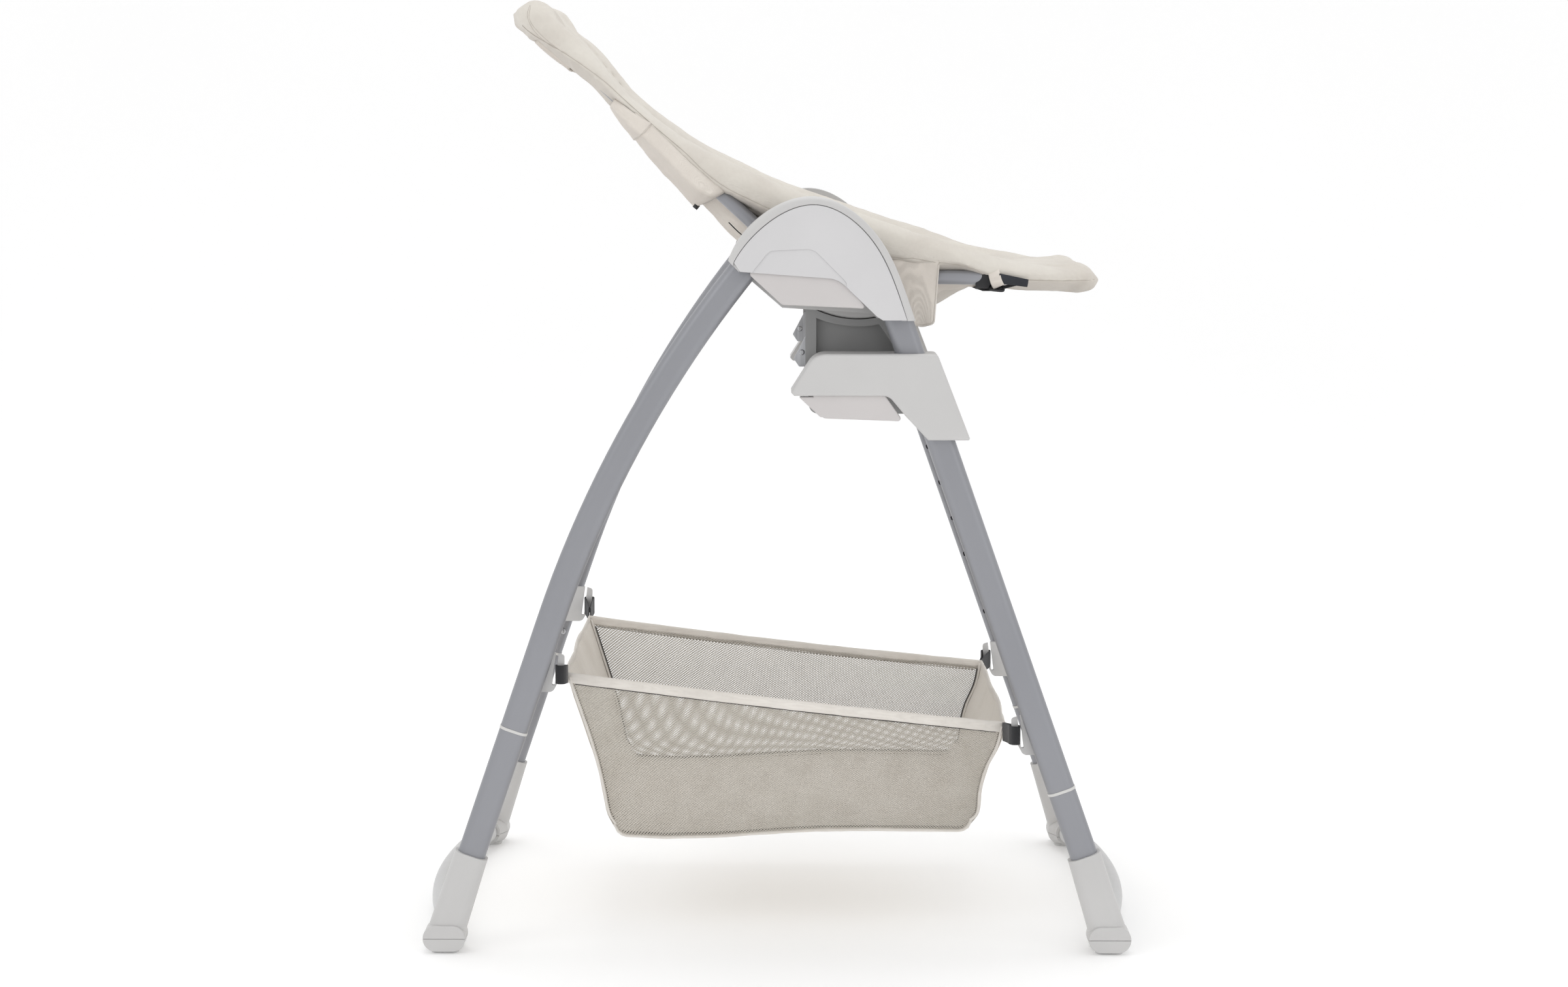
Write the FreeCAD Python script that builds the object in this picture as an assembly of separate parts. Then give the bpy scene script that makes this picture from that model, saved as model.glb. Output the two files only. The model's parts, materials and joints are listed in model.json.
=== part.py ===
import FreeCAD
import Part
import math
import os
from FreeCAD import Vector

# Bouncer seat on a height-adjustable folding A-frame stand, in millimetres.
# Frame: origin on the floor at the centre of the stand, +Z up, +X towards the
# child's feet, +Y towards the child's left. Every left piece is built on the
# +Y side and mirrored for the right.

# ---- driving dimensions -------------------------------------------------
LEG_Y = 280.0            # centre plane of each leg
LEG_WIDE = 31.0          # leg section seen from the side
LEG_DEEP = 24.0          # leg section across the stand
LEG_CORNER = 10.0
LEG_WALL = 1.8
LEG_IN = LEG_Y - LEG_DEEP / 2      # inner face of a leg
LEG_OUT = LEG_Y + LEG_DEEP / 2     # outer face of a leg

FRONT_X400 = 240.3       # front leg axis: x at z = 400, and lean per mm of height
FRONT_LEAN = -0.3527
FRONT_TOP = 748.0
FRONT_RING_Z = 183.5

REAR_X375 = -251.1       # rear leg axis: x at z = 375, straight below, curved above
REAR_LEAN = 0.3405
REAR_BEND_Z = 375.0
REAR_BEND_R = 1280.0
REAR_RING_Z = 250.5
RING_TALL = 3.2
TUBE_FOOT_Z = 42.0       # lower end of the lower tubes, inside the shoes

PIVOT_X = -10.0          # fold pivot of the rear legs
PIVOT_Z = 796.0
PIVOT_R = 5.0

SHOE_X = 371.4           # centre of the shoe's oval end
SHOE_TOP_Z = 110.0
SHOE_END_Y = 300.0
SHOE_WIDE = 47.4
SHOE_LOW = 2.6
SHOE_HIGH = 32.0
SHOE_SPLIT = 17.0
COLLAR_Y = 236.0         # inner end of the shoe's sleeve for the cross tube
COLLAR_R = 16.0
CROSS_Z = 22.0
CROSS_R = 12.5
CROSS_BOW = 26.0

HUB_IN = 250.0           # hub: inner face, outer rim, cover's bed and outer face
HUB_RIM = 306.5
HUB_BED = 304.0
HUB_OUT = 308.0
HUB_FLOOR = 4.0
LEVER_IN = 295.0
LEVER_OUT = 303.4
FOLD_DEG = 36.0

NOTCH_TOP_Z = 610.0      # highest height notch, and the steps below it along the leg
NOTCH_STEPS = (0.0, 48.5, 97.0, 145.5, 194.0, 242.5, 321.0)
NOTCH_WIDE = 24.0
NOTCH_TALL = 6.0

CARRIAGE_IN = 252.0
CARRIAGE_OUT = 303.0
SLEEVE_GAP = 0.4
GRIP_IN = 294.0
GRIP_OUT = 298.4

BASE_LOW = 602.0         # seat base beam between the carriages
BASE_HIGH = 650.0
FRAME_IN = 222.0         # side frames that stand on the beam
FRAME_OUT = 240.0
SADDLE_X = 88.0          # centre of the round saddles: the recline axis
SADDLE_Z = 816.0
SADDLE_R = 110.0
SADDLE_GAP = 0.5

SEAT_TUBE_Y = 204.0      # seat tubes
SEAT_TUBE_R = 8.0
HEAD_LOOP_Y = 140.0      # half width of the head loop and of the foot loop
FOOT_LOOP_Y = 150.0
SOFT_GAP = 0.6
STRAP_TALL = 22.0        # basket webbing at the four corner clips

Y_AXIS = Vector(0, 1, 0)
PARTS = {}


# ---- helpers -------------------------------------------------------------
def save(name, *solids):
    """Keep a node made of one solid or of several separate solids."""
    PARTS[name] = solids[0] if len(solids) == 1 else Part.makeCompound(list(solids))


def mirrored(shape):
    return shape.mirror(Vector(0, 0, 0), Y_AXIS)


def save_pair(name, shape):
    """Keep the left piece and its mirror image as two nodes."""
    save(name + "_left", shape)
    save(name + "_right", mirrored(shape))


def save_both(name, *shapes):
    """Keep pieces and their mirror images together in one node."""
    save(name, *shapes, *[mirrored(shape) for shape in shapes])


def front_x(z):
    return FRONT_X400 + FRONT_LEAN * (z - 400.0)


def rear_x(z):
    """The straight lower stretch of the rear leg."""
    return REAR_X375 + REAR_LEAN * (z - REAR_BEND_Z)


def direction(lean):
    """Unit vector up a straight leg that leans by so much x per z."""
    vector = Vector(lean, 0, 1)
    return vector.normalize()


FRONT_DIR = direction(FRONT_LEAN)
REAR_DIR = direction(REAR_LEAN)


def along(origin, step, distance):
    return origin + Vector(step).multiply(distance)


def corner_arc(before, corner, after, radius):
    """Tangent points and middle of the arc that rounds one corner."""
    back = (before - corner).normalize()
    ahead = (after - corner).normalize()
    half = back.getAngle(ahead) / 2
    reach = radius / math.tan(half)
    centre = along(corner, (back + ahead).normalize(), radius / math.sin(half))
    middle = along(centre, (corner - centre).normalize(), radius)
    return along(corner, back, reach), middle, along(corner, ahead, reach)


def rounded_wire(points):
    """Closed wire through (corner, radius) pairs, each corner an arc."""
    edges = []
    count = len(points)
    ends = []
    for index, (corner, radius) in enumerate(points):
        before = points[index - 1][0]
        after = points[(index + 1) % count][0]
        if radius > 0:
            start, middle, end = corner_arc(before, corner, after, radius)
            edges.append(Part.Arc(start, middle, end).toShape())
        else:
            start = end = corner
        ends.append((start, end))
    for index in range(count):
        start = ends[index][1]
        end = ends[(index + 1) % count][0]
        if start.distanceToPoint(end) > 1e-6:
            edges.append(Part.LineSegment(start, end).toShape())
    return Part.Wire(Part.__sortEdges__(edges))


def side_wire(corners, y):
    """Closed rounded wire in the side view, from (x, z, radius) corners."""
    return rounded_wire([(Vector(x, y, z), r) for x, z, r in corners])


def slab(corners, y0, y1):
    """Plate with a rounded side-view outline, between two y planes."""
    return Part.Face(side_wire(corners, y0)).extrude(Vector(0, y1 - y0, 0))


def plan_slab(corners, z0, z1):
    """Plate with a rounded plan outline, from (x, y, radius) corners."""
    wire = rounded_wire([(Vector(x, y, z0), r) for x, y, r in corners])
    return Part.Face(wire).extrude(Vector(0, 0, z1 - z0))


def section(centre, across, wide, deep, corner):
    """Rounded rectangle around a leg's axis; across is its side-view width."""
    a = Vector(across).multiply(wide / 2)
    b = Vector(0, deep / 2, 0)
    corners = [centre - a - b, centre + a - b, centre + a + b, centre - a + b]
    return rounded_wire([(point, corner) for point in corners])


def leg_prism(start, step, length, grow=0.0):
    """Solid of the leg's outline along a straight stretch of its axis."""
    across = step.cross(Y_AXIS)
    wire = section(
        start, across, LEG_WIDE + 2 * grow, LEG_DEEP + 2 * grow, LEG_CORNER + grow
    )
    return Part.Face(wire).extrude(Vector(step).multiply(length))


def leg_tube(start, step, length):
    inner = leg_prism(start, step, length, -LEG_WALL)
    return leg_prism(start, step, length).cut(inner)


def rod(start, end, radius):
    axis = end - start
    return Part.makeCylinder(radius, axis.Length, start, axis)


def y_rod(x, z, y0, y1, radius):
    return rod(Vector(x, y0, z), Vector(x, y1, z), radius)


def spline(points):
    curve = Part.BSplineCurve()
    curve.interpolate(points)
    return curve.toShape()


def edges_at_y(shape, y):
    """Edges that lie wholly in one y plane."""
    box = [(edge, edge.BoundBox) for edge in shape.Edges]
    return [e for e, b in box if abs(b.YMin - y) < 0.01 and abs(b.YMax - y) < 0.01]


def round_face(shape, y, radius):
    """Round all edges of the face in one y plane."""
    return shape.makeFillet(radius, edges_at_y(shape, y))


def coil(x, y, z0, z1, radius, wire_radius, turns):
    """Upright helical spring."""
    tall = z1 - z0 - 2 * wire_radius
    path = Part.makeHelix(tall / turns, tall, radius)
    ring = Part.Circle(Vector(radius, 0, 0), Y_AXIS, wire_radius).toShape()
    shape = Part.Wire(path).makePipeShell([Part.Wire(ring)], True, True)
    shape.translate(Vector(x, y, z0 + wire_radius))
    return shape


# ---- front legs ----------------------------------------------------------
def notch_origin(step):
    """Centre of a height notch on the leg's axis."""
    top = Vector(front_x(NOTCH_TOP_Z), LEG_Y, NOTCH_TOP_Z)
    return along(top, FRONT_DIR, -step)


def notch_cutter(step, wide, tall, y0, y1):
    """Block across the leg at one notch, between two y planes."""
    centre = notch_origin(step)
    across = FRONT_DIR.cross(Y_AXIS)
    a = Vector(across).multiply(wide / 2)
    b = Vector(FRONT_DIR).multiply(tall / 2)
    corners = [centre - a - b, centre + a - b, centre + a + b, centre - a + b]
    flat = [(Vector(p.x, y0, p.z), tall / 3) for p in corners]
    return Part.Face(rounded_wire(flat)).extrude(Vector(0, y1 - y0, 0))


def make_front_legs():
    half_ring = RING_TALL / 2
    ring = Vector(front_x(FRONT_RING_Z), LEG_Y, FRONT_RING_Z)
    top = Vector(front_x(FRONT_TOP), LEG_Y, FRONT_TOP)
    foot = Vector(front_x(TUBE_FOOT_Z), LEG_Y, TUBE_FOOT_Z)
    start = along(ring, FRONT_DIR, half_ring)
    upper = leg_tube(start, FRONT_DIR, start.distanceToPoint(top))
    for step in NOTCH_STEPS:
        cutter = notch_cutter(step, NOTCH_WIDE, NOTCH_TALL, LEG_IN - 2, LEG_Y - 4)
        upper = upper.cut(cutter)
    save_pair("front_leg", upper)
    length = foot.distanceToPoint(ring) - half_ring
    save_both("front_lower_tubes", leg_tube(foot, FRONT_DIR, length))
    save_both("front_joint_rings", joint_ring(ring, FRONT_DIR))


def joint_ring(centre, step):
    """Thin collar between the two tubes of a leg, a little proud of them."""
    start = along(centre, step, -RING_TALL / 2)
    inner = leg_prism(start, step, RING_TALL, -LEG_WALL - 2.0)
    return leg_prism(start, step, RING_TALL, 0.5).cut(inner)


# ---- rear legs -----------------------------------------------------------
def rear_bend_point(z):
    """Point on the curved upper stretch of the rear leg's axis."""
    centre_x = REAR_X375 + REAR_BEND_R * REAR_DIR.z
    centre_z = REAR_BEND_Z - REAR_BEND_R * REAR_DIR.x
    rise = z - centre_z
    return Vector(centre_x - math.sqrt(REAR_BEND_R**2 - rise**2), LEG_Y, z)


def rear_bend_dir(z):
    """Direction up the leg on its curved stretch."""
    centre_z = REAR_BEND_Z - REAR_BEND_R * REAR_DIR.x
    lean = math.asin((z - centre_z) / REAR_BEND_R)
    return Vector(math.sin(lean), 0, math.cos(lean))


def curved_prism(start, top_z, grow):
    """Leg outline swept up the straight stretch and round the bend."""
    across = REAR_DIR.cross(Y_AXIS)
    wire = section(
        start, across, LEG_WIDE + 2 * grow, LEG_DEEP + 2 * grow, LEG_CORNER + grow
    )
    bend = rear_bend_point(REAR_BEND_Z)
    middle = rear_bend_point((REAR_BEND_Z + top_z) / 2)
    top = rear_bend_point(top_z)
    path = Part.Wire(
        [Part.LineSegment(start, bend).toShape(), Part.Arc(bend, middle, top).toShape()]
    )
    return path.makePipeShell([wire], True, False)


def make_rear_legs():
    half_ring = RING_TALL / 2
    leg_top = 772.0
    ring = Vector(rear_x(REAR_RING_Z), LEG_Y, REAR_RING_Z)
    foot = Vector(rear_x(TUBE_FOOT_Z), LEG_Y, TUBE_FOOT_Z)
    start = along(ring, REAR_DIR, half_ring)
    outer = curved_prism(start, leg_top, 0.0)
    upper = outer.cut(curved_prism(start, leg_top, -LEG_WALL))
    save_pair("rear_leg", upper)
    length = foot.distanceToPoint(ring) - half_ring
    save_both("rear_lower_tubes", leg_tube(foot, REAR_DIR, length))
    save_both("rear_joint_rings", joint_ring(ring, REAR_DIR))
    button = Vector(rear_x(277.0) + 8.0, LEG_IN, 277.0)
    dome = Part.makeSphere(4.2, button).cut(rear_half_space(button.y))
    save_both("rear_leg_buttons", dome)
    make_knuckles(leg_top)


def rear_half_space(y):
    """Everything beyond a y plane, for trimming a dome to its face."""
    return Part.makeBox(900, 100, 900, Vector(-450, y, 0))


def make_knuckles(leg_top):
    """Eye on the fold pivot with a plug that fills the top of the leg."""
    eye = y_rod(PIVOT_X, PIVOT_Z, LEG_IN + 0.5, LEG_OUT - 0.5, 19.0)
    neck_low = rear_bend_point(leg_top)
    step = rear_bend_dir(leg_top)
    neck_length = neck_low.distanceToPoint(Vector(PIVOT_X, LEG_Y, PIVOT_Z))
    across = step.cross(Y_AXIS)
    neck_wire = section(neck_low, across, LEG_WIDE - 1, LEG_DEEP - 1, LEG_CORNER - 1)
    neck = Part.Face(neck_wire).extrude(Vector(step).multiply(neck_length))
    plug_low = along(neck_low, step, -34.0)
    plug_wire = section(
        plug_low, across, LEG_WIDE - 2 * LEG_WALL - 1.6, LEG_DEEP - 2 * LEG_WALL - 1.0, 7.0
    )
    plug = Part.Face(plug_wire).extrude(Vector(step).multiply(38.0))
    bore = y_rod(PIVOT_X, PIVOT_Z, LEG_IN - 5, LEG_OUT + 5, PIVOT_R + 0.05)
    save_both("rear_knuckles", eye.fuse([neck, plug]).removeSplitter().cut(bore))


# ---- shoes and cross tubes -------------------------------------------------
def oval(x, z_low, z_high, wide, y):
    """Side-view oval with flattened ends, as a wire."""
    tall = z_high - z_low
    corner = tall / 2 - 0.4
    return side_wire(
        [
            (x - wide / 2, z_low, corner),
            (x + wide / 2, z_low, corner),
            (x + wide / 2, z_high, corner),
            (x - wide / 2, z_high, corner),
        ],
        y,
    )


def shoe_parts(side, leg_x, step):
    """Upper shell and sole of the +Y shoe; side is +1 in front, -1 behind."""
    x = side * SHOE_X
    wide_end = oval(x, SHOE_LOW, SHOE_HIGH, SHOE_WIDE, SHOE_END_Y)
    body = Part.Face(wide_end).extrude(Vector(0, -34, 0))
    body = round_face(body, SHOE_END_Y, 1.2)
    inner_end = oval(x, SHOE_LOW, SHOE_HIGH, SHOE_WIDE, SHOE_END_Y - 34)
    ring = oval(x, CROSS_Z - COLLAR_R, CROSS_Z + COLLAR_R, 2 * COLLAR_R, COLLAR_Y + 10)
    taper = Part.makeLoft([inner_end, ring], True, True)
    collar = y_rod(x, CROSS_Z, COLLAR_Y, COLLAR_Y + 10, COLLAR_R)
    across = step.cross(Y_AXIS)
    top = Vector(leg_x(SHOE_TOP_Z), LEG_Y, SHOE_TOP_Z)
    top_wire = section(top, across, LEG_WIDE + 6.5, LEG_DEEP + 7, LEG_CORNER + 2)
    low = Vector(x + side * 0.5, LEG_Y, 18.0)
    low_wire = section(low, Vector(1, 0, 0), 44.0, LEG_DEEP + 12, LEG_CORNER + 4)
    boot = Part.makeLoft([low_wire, top_wire], True, True)
    whole = body.fuse([taper, collar, boot]).removeSplitter()
    foot = Vector(leg_x(TUBE_FOOT_Z), LEG_Y, TUBE_FOOT_Z)
    whole = whole.cut(leg_prism(foot, step, 120))
    whole = whole.cut(cross_tube_solid(side, CROSS_R))
    above = Part.makeBox(160, 120, 130, Vector(x - 80, 210, SHOE_SPLIT + 0.2))
    below = Part.makeBox(160, 120, 40, Vector(x - 80, 210, SHOE_SPLIT - 40.2))
    pad = glide_slab(x, 0.0, 5.0)
    return whole.common(above), whole.common(below).cut(pad), pad


def glide_slab(x, z0, z1):
    half_x = 15.0
    y0 = 262.0
    y1 = 294.0
    corners = [
        (x - half_x, y0, 8),
        (x + half_x, y0, 8),
        (x + half_x, y1, 8),
        (x - half_x, y1, 8),
    ]
    return plan_slab(corners, z0, z1)


def cross_tube_solid(side, radius):
    """Bowed cross tube between the two shoes, solid, of one radius."""
    x = side * SHOE_X
    reach = LEG_Y
    start = Vector(x, -reach, CROSS_Z)
    end = Vector(x, reach, CROSS_Z)
    shoulder = COLLAR_Y - 2
    a = Vector(x, -shoulder, CROSS_Z)
    b = Vector(x, shoulder, CROSS_Z)
    crown = Vector(x + side * CROSS_BOW, 0, CROSS_Z)
    path = Part.Wire([Part.Arc(a, crown, b).toShape()])
    tangent = path.Edges[0].tangentAt(path.Edges[0].FirstParameter)
    ring = Part.Wire(Part.Circle(a, tangent, radius).toShape())
    bow = path.makePipeShell([ring], True, False)
    return bow.fuse([rod(start, a, radius), rod(b, end, radius)]).removeSplitter()


def make_base(prefix, side, leg_x, step):
    shell, sole, pad = shoe_parts(side, leg_x, step)
    save_pair(prefix + "_shoe", shell)
    save_both(prefix + "_soles", sole)
    save_both(prefix + "_glides", pad)
    bore = cross_tube_solid(side, CROSS_R - 1.5)
    save(prefix + "_cross_tube", cross_tube_solid(side, CROSS_R).cut(bore))


# ---- hubs -------------------------------------------------------------------
HUB_EDGE = [(-55, 773), (-31, 811), (42, 842), (105, 804), (138, 741), (149.5, 708)]
COVER_EDGE = [(-48.5, 771), (-25, 802), (42, 833.5), (96, 802), (129.5, 740), (140.5, 708.5)]
BED_EDGE = [(-49.2, 770.5), (-25.5, 802.5), (42, 834.2), (96.6, 802.5), (130.2, 740), (141.2, 707)]


def dome_face(edge, floor, y):
    """Face under a dome curve, closed by straight floor points."""
    top = spline([Vector(x, y, z) for x, z in edge])
    corners = [edge[-1]] + floor + [edge[0]]
    points = [Vector(x, y, z) for x, z in corners]
    lines = [Part.LineSegment(a, b).toShape() for a, b in zip(points, points[1:])]
    return Part.Face(Part.Wire([top] + lines))


def dome_slab(edge, floor, y0, y1):
    return dome_face(edge, floor, y0).extrude(Vector(0, y1 - y0, 0))


def make_hubs():
    low_edge = [(114, 708), (107, 712), (71, 746), (65, 750.5), (58, 753), (-43, 760.5)]
    lip = [(109, 708), (103, 713), (4, 719.5), (-40, 757.5)]
    shell = dome_slab(HUB_EDGE, low_edge, HUB_IN + HUB_FLOOR, HUB_RIM)
    shell = shell.fuse(dome_slab(HUB_EDGE, lip, HUB_IN, HUB_IN + HUB_FLOOR))
    rim = [e for e in edges_at_y(shell, HUB_RIM) if e.BoundBox.ZMax > 830]
    shell = shell.makeFillet(6.0, rim)
    cavity_edge = [(-44, 768), (-22, 800), (42, 829), (92, 798), (125, 738), (137, 700)]
    cavity = dome_slab(cavity_edge, [(100, 690), (-30, 690)], HUB_IN + HUB_FLOOR, HUB_OUT)
    shell = shell.cut(cavity)
    bed = dome_slab(BED_EDGE, [(110, 700), (-52, 700)], HUB_BED, HUB_OUT)
    shell = shell.cut(bed)
    sweep = rear_sweep()
    shell = shell.cut(sweep)
    leg_end = Vector(front_x(690), LEG_Y, 690)
    shell = shell.cut(leg_prism(leg_end, FRONT_DIR, 70))
    post = y_rod(PIVOT_X, PIVOT_Z, HUB_IN + HUB_FLOOR, LEG_IN, 10)
    shell = shell.fuse(post).cut(y_rod(PIVOT_X, PIVOT_Z, HUB_IN - 1, HUB_RIM, PIVOT_R))
    save_pair("hub_inner", largest(shell))
    make_covers()
    pin = y_rod(PIVOT_X, PIVOT_Z, HUB_IN - 2, HUB_BED - 0.5, PIVOT_R)
    head = y_rod(PIVOT_X, PIVOT_Z, HUB_IN - 5, HUB_IN, 9.0)
    save_both("fold_pins", round_face(pin.fuse(head).removeSplitter(), HUB_IN - 5, 1.2))
    make_levers()


def largest(shape):
    """The main solid of a cut, without loose crumbs."""
    return max(shape.Solids, key=lambda solid: solid.Volume)


def rear_sweep():
    """Room that the top of the rear leg and its eye need while folding."""
    steps = 6
    room = []
    for index in range(steps + 1):
        bend = rear_bend_dir(772.0)
        low = rear_bend_point(700.0)
        wide = LEG_WIDE + 9
        across = bend.cross(Y_AXIS)
        wire = section(low, across, wide, LEG_DEEP + 2, LEG_CORNER)
        neck = Part.Face(wire).extrude(Vector(bend).multiply(118.0))
        neck.rotate(Vector(PIVOT_X, 0, PIVOT_Z), Vector(0, -1, 0), index * FOLD_DEG / steps)
        room.append(neck)
    eye = y_rod(PIVOT_X, PIVOT_Z, LEG_IN - 1, LEG_OUT + 1, 21.0)
    return eye.fuse(room)


def make_covers():
    floor = [(114, 708.5), (107.5, 712.5), (71.5, 747), (65.5, 751.3), (58.5, 753.8), (-42, 761)]
    cover = dome_slab(COVER_EDGE, floor, HUB_BED + 0.1, HUB_OUT)
    cover = round_face(cover, HUB_OUT, 1.6)
    scoop_edge = [
        (-29, 740, 0),
        (-29, 760, 8),
        (-10, 784, 14),
        (38, 786, 18),
        (74, 750, 6),
        (74, 740, 0),
    ]
    scoop = slab(scoop_edge, HUB_OUT - 1.2, HUB_OUT + 1)
    cover = cover.cut(scoop)
    save_pair("hub_cover", largest(cover))


def make_levers():
    """Squeeze lever under each hub, its spring, and the lock bolt it draws."""
    lever = slab(
        [
            (-31, 772, 2),
            (-31, 757, 4),
            (4, 725, 6),
            (97, 721, 3),
            (66, 764, 6),
            (60, 772, 2),
        ],
        LEVER_IN,
        LEVER_OUT,
    )
    lever = round_face(lever, LEVER_OUT, 2.0)
    save_pair("fold_lever", lever)
    spring_x = 30.0
    spring_y = (LEVER_IN + LEVER_OUT) / 2
    save_pair("fold_spring", coil(spring_x, spring_y, 772.4, 796.0, 3.2, 0.6, 6))
    bolt = Part.makeBox(26, 7, 9, Vector(PIVOT_X + 20.5, LEG_Y - 3.5, PIVOT_Z - 4.5))
    save_pair("fold_bolt", bolt.makeFillet(1.0, bolt.Edges))


# ---- height carriage ----------------------------------------------------------
def make_carriages():
    outline = [
        (13.5, 629.5, 2),
        (40, 671.5, 22),
        (174, 671.5, 6),
        (211, 577, 2),
        (164.5, 577, 2),
        (139, 604, 6),
        (121, 625.5, 14),
        (17.5, 625.5, 1.5),
    ]
    body = slab(outline, CARRIAGE_IN, CARRIAGE_OUT)
    body = round_face(body, CARRIAGE_OUT, 3.0)
    room = slab(
        [(19.8, 600, 0), (19.8, 634, 1), (44, 662, 6), (140, 662, 4), (140, 600, 0)],
        GRIP_IN - 4,
        GRIP_OUT + 0.5,
    )
    light = slab([(50, 600, 0), (50, 655, 4), (112, 655, 4), (112, 600, 0)], 257, GRIP_IN - 6)
    start = Vector(front_x(540), LEG_Y, 540)
    sleeve = leg_prism(start, FRONT_DIR, 180, SLEEVE_GAP)
    body = body.cut([room, light, sleeve])
    well = notch_cutter(0.0, NOTCH_WIDE - 3, NOTCH_TALL + 1, CARRIAGE_IN - 2, LEG_Y - 8)
    save_pair("carriage", largest(body.cut(well)))
    grip = slab(
        [
            (38, 645, 2),
            (38, 612, 3),
            (50, 600.5, 6),
            (137, 597.5, 3),
            (116, 628, 8),
            (116, 645, 2),
        ],
        GRIP_IN - 3.5,
        GRIP_OUT,
    )
    lip_outline = [(22, 624.5, 1), (46, 602, 3), (60, 602, 3), (60, 624.5, 1)]
    left_lip = slab(lip_outline, GRIP_IN - 3.5, GRIP_OUT)
    grip = grip.fuse(left_lip).removeSplitter()
    save_pair("height_grip", round_face(grip, GRIP_OUT, 1.6))
    spring_y = (GRIP_IN + GRIP_OUT - 3.5) / 2
    save_pair("height_spring", coil(80.0, spring_y, 645.4, 661.6, 2.6, 0.5, 5))
    blade = notch_cutter(0.0, NOTCH_WIDE - 4, NOTCH_TALL - 1, LEG_IN - 11.6, LEG_IN - 0.6)
    save_pair("height_pin", blade)


# ---- seat carrier --------------------------------------------------------------
def saddle_disc(radius, y0, y1):
    return y_rod(SADDLE_X, SADDLE_Z, y0, y1, radius)


def make_carrier():
    wall = 3.5
    reach = CARRIAGE_IN - 0.05
    outer = [(34, BASE_LOW, 10), (34, BASE_HIGH, 6), (150, BASE_HIGH, 6), (150, BASE_LOW, 10)]
    inner = [
        (34 + wall, BASE_LOW - 5, 0),
        (34 + wall, BASE_HIGH - wall, 5),
        (150 - wall, BASE_HIGH - wall, 5),
        (150 - wall, BASE_LOW - 5, 0),
    ]
    beam = slab(outer, -reach, reach).cut(slab(inner, -reach + wall, reach - wall))
    save("seat_base", beam)
    frame_outline = [(30, BASE_HIGH, 0), (30, 718, 2), (146, 718, 4), (150, BASE_HIGH, 0)]
    frame = slab(frame_outline, FRAME_IN, FRAME_OUT)
    frame = frame.cut(saddle_disc(SADDLE_R, FRAME_IN - 1, FRAME_OUT + 1))
    panel = slab(
        [(42, 655, 2), (42, 712, 2), (104, 712, 4), (136, 664, 4), (136, 655, 2)],
        FRAME_OUT - 11,
        FRAME_OUT + 1,
    )
    panel = panel.cut(saddle_disc(SADDLE_R + 8, FRAME_IN, FRAME_OUT + 2))
    save_both("side_frames", largest(frame.cut(panel)))
    gusset = [(52, 700, 3), (31, 688, 3), (17, 661, 2), (23, 652, 2), (52, 652, 0)]
    plate = slab(gusset, 218, FRAME_IN)
    save_both("gussets", plate)
    rivets = []
    for x, z in ((26.0, 668.0), (44.0, 664.0), (44.0, 690.0)):
        head = y_rod(x, z, 215.5, 218.0, 3.2)
        rivets.append(round_face(head, 215.5, 1.4))
    outer_head = y_rod(26.0, 668.0, FRAME_IN, FRAME_IN + 2.2, 3.2)
    save_both("carrier_rivets", *rivets, round_face(outer_head, FRAME_IN + 2.2, 1.4))


# ---- seat ------------------------------------------------------------------------
def make_adapters():
    """Round-bottomed plates that seat in the saddles and hold the tubes."""
    inner = SEAT_TUBE_Y + SEAT_TUBE_R + 0.3
    plate = slab(
        [(8, 782, 12), (4, 742, 24), (50, 700, 0), (118, 700, 0), (128, 728, 8), (116, 766, 8)],
        inner,
        FRAME_OUT - 2,
    )
    plate = plate.common(saddle_disc(SADDLE_R - SADDLE_GAP, inner - 1, FRAME_OUT))
    save_both("adapters", round_face(largest(plate), FRAME_OUT - 2, 3.0))


BACK_PATH = [(40, 748), (-58, 838.5), (-192, 961), (-266, 1029)]
FOOT_PATH = [(64, 753), (222, 751), (342, 748)]


def loop_path(route, loop_y, side_radius, end_radius):
    """U-shaped path: down one side, across the end and up the other side."""
    sides = []
    for index, (x, z) in enumerate(route):
        share = max(0.0, (index - 1) / (len(route) - 2))
        sides.append((x, SEAT_TUBE_Y + (loop_y - SEAT_TUBE_Y) * share, z))
    points = [Vector(*p) for p in sides]
    points += [Vector(p[0], -p[1], p[2]) for p in reversed(sides)]
    edges = []
    start = points[0]
    last = len(points) - 2
    for index in range(1, last + 1):
        at_end = index in (last // 2, last // 2 + 1)
        radius = end_radius if at_end else side_radius
        first, middle, after = corner_arc(
            points[index - 1], points[index], points[index + 1], radius
        )
        edges.append(Part.LineSegment(start, first).toShape())
        edges.append(Part.Arc(first, middle, after).toShape())
        start = after
    edges.append(Part.LineSegment(start, points[-1]).toShape())
    return Part.Wire(edges)


def pipe(path, radius):
    start = path.Edges[0].firstVertex().Point
    tangent = path.Edges[0].tangentAt(path.Edges[0].FirstParameter)
    ring = Part.Wire(Part.Circle(start, tangent, radius).toShape())
    return path.makePipeShell([ring], True, True)


PAD_TOP = [
    (-280, 1056),
    (-257, 1048),
    (-218, 1006),
    (-160, 946),
    (-53, 879),
    (98, 821),
    (209, 783),
    (347, 760),
]
PAD_END = (364, 748)
PAD_LOW = [
    (350, 737),
    (290, 738),
    (232, 749),
    (200, 760),
    (131, 770),
    (-56, 848),
    (-142, 912),
    (-190, 942),
    (-222, 970),
    (-273, 1013),
]
PAD_HEAD = (-297, 1038)
HALF_PLAN = [
    (-297, 112),
    (-285, 156),
    (-190, 189),
    (-60, 221),
    (170, 223),
    (300, 198),
    (372, 134),
]


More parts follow.
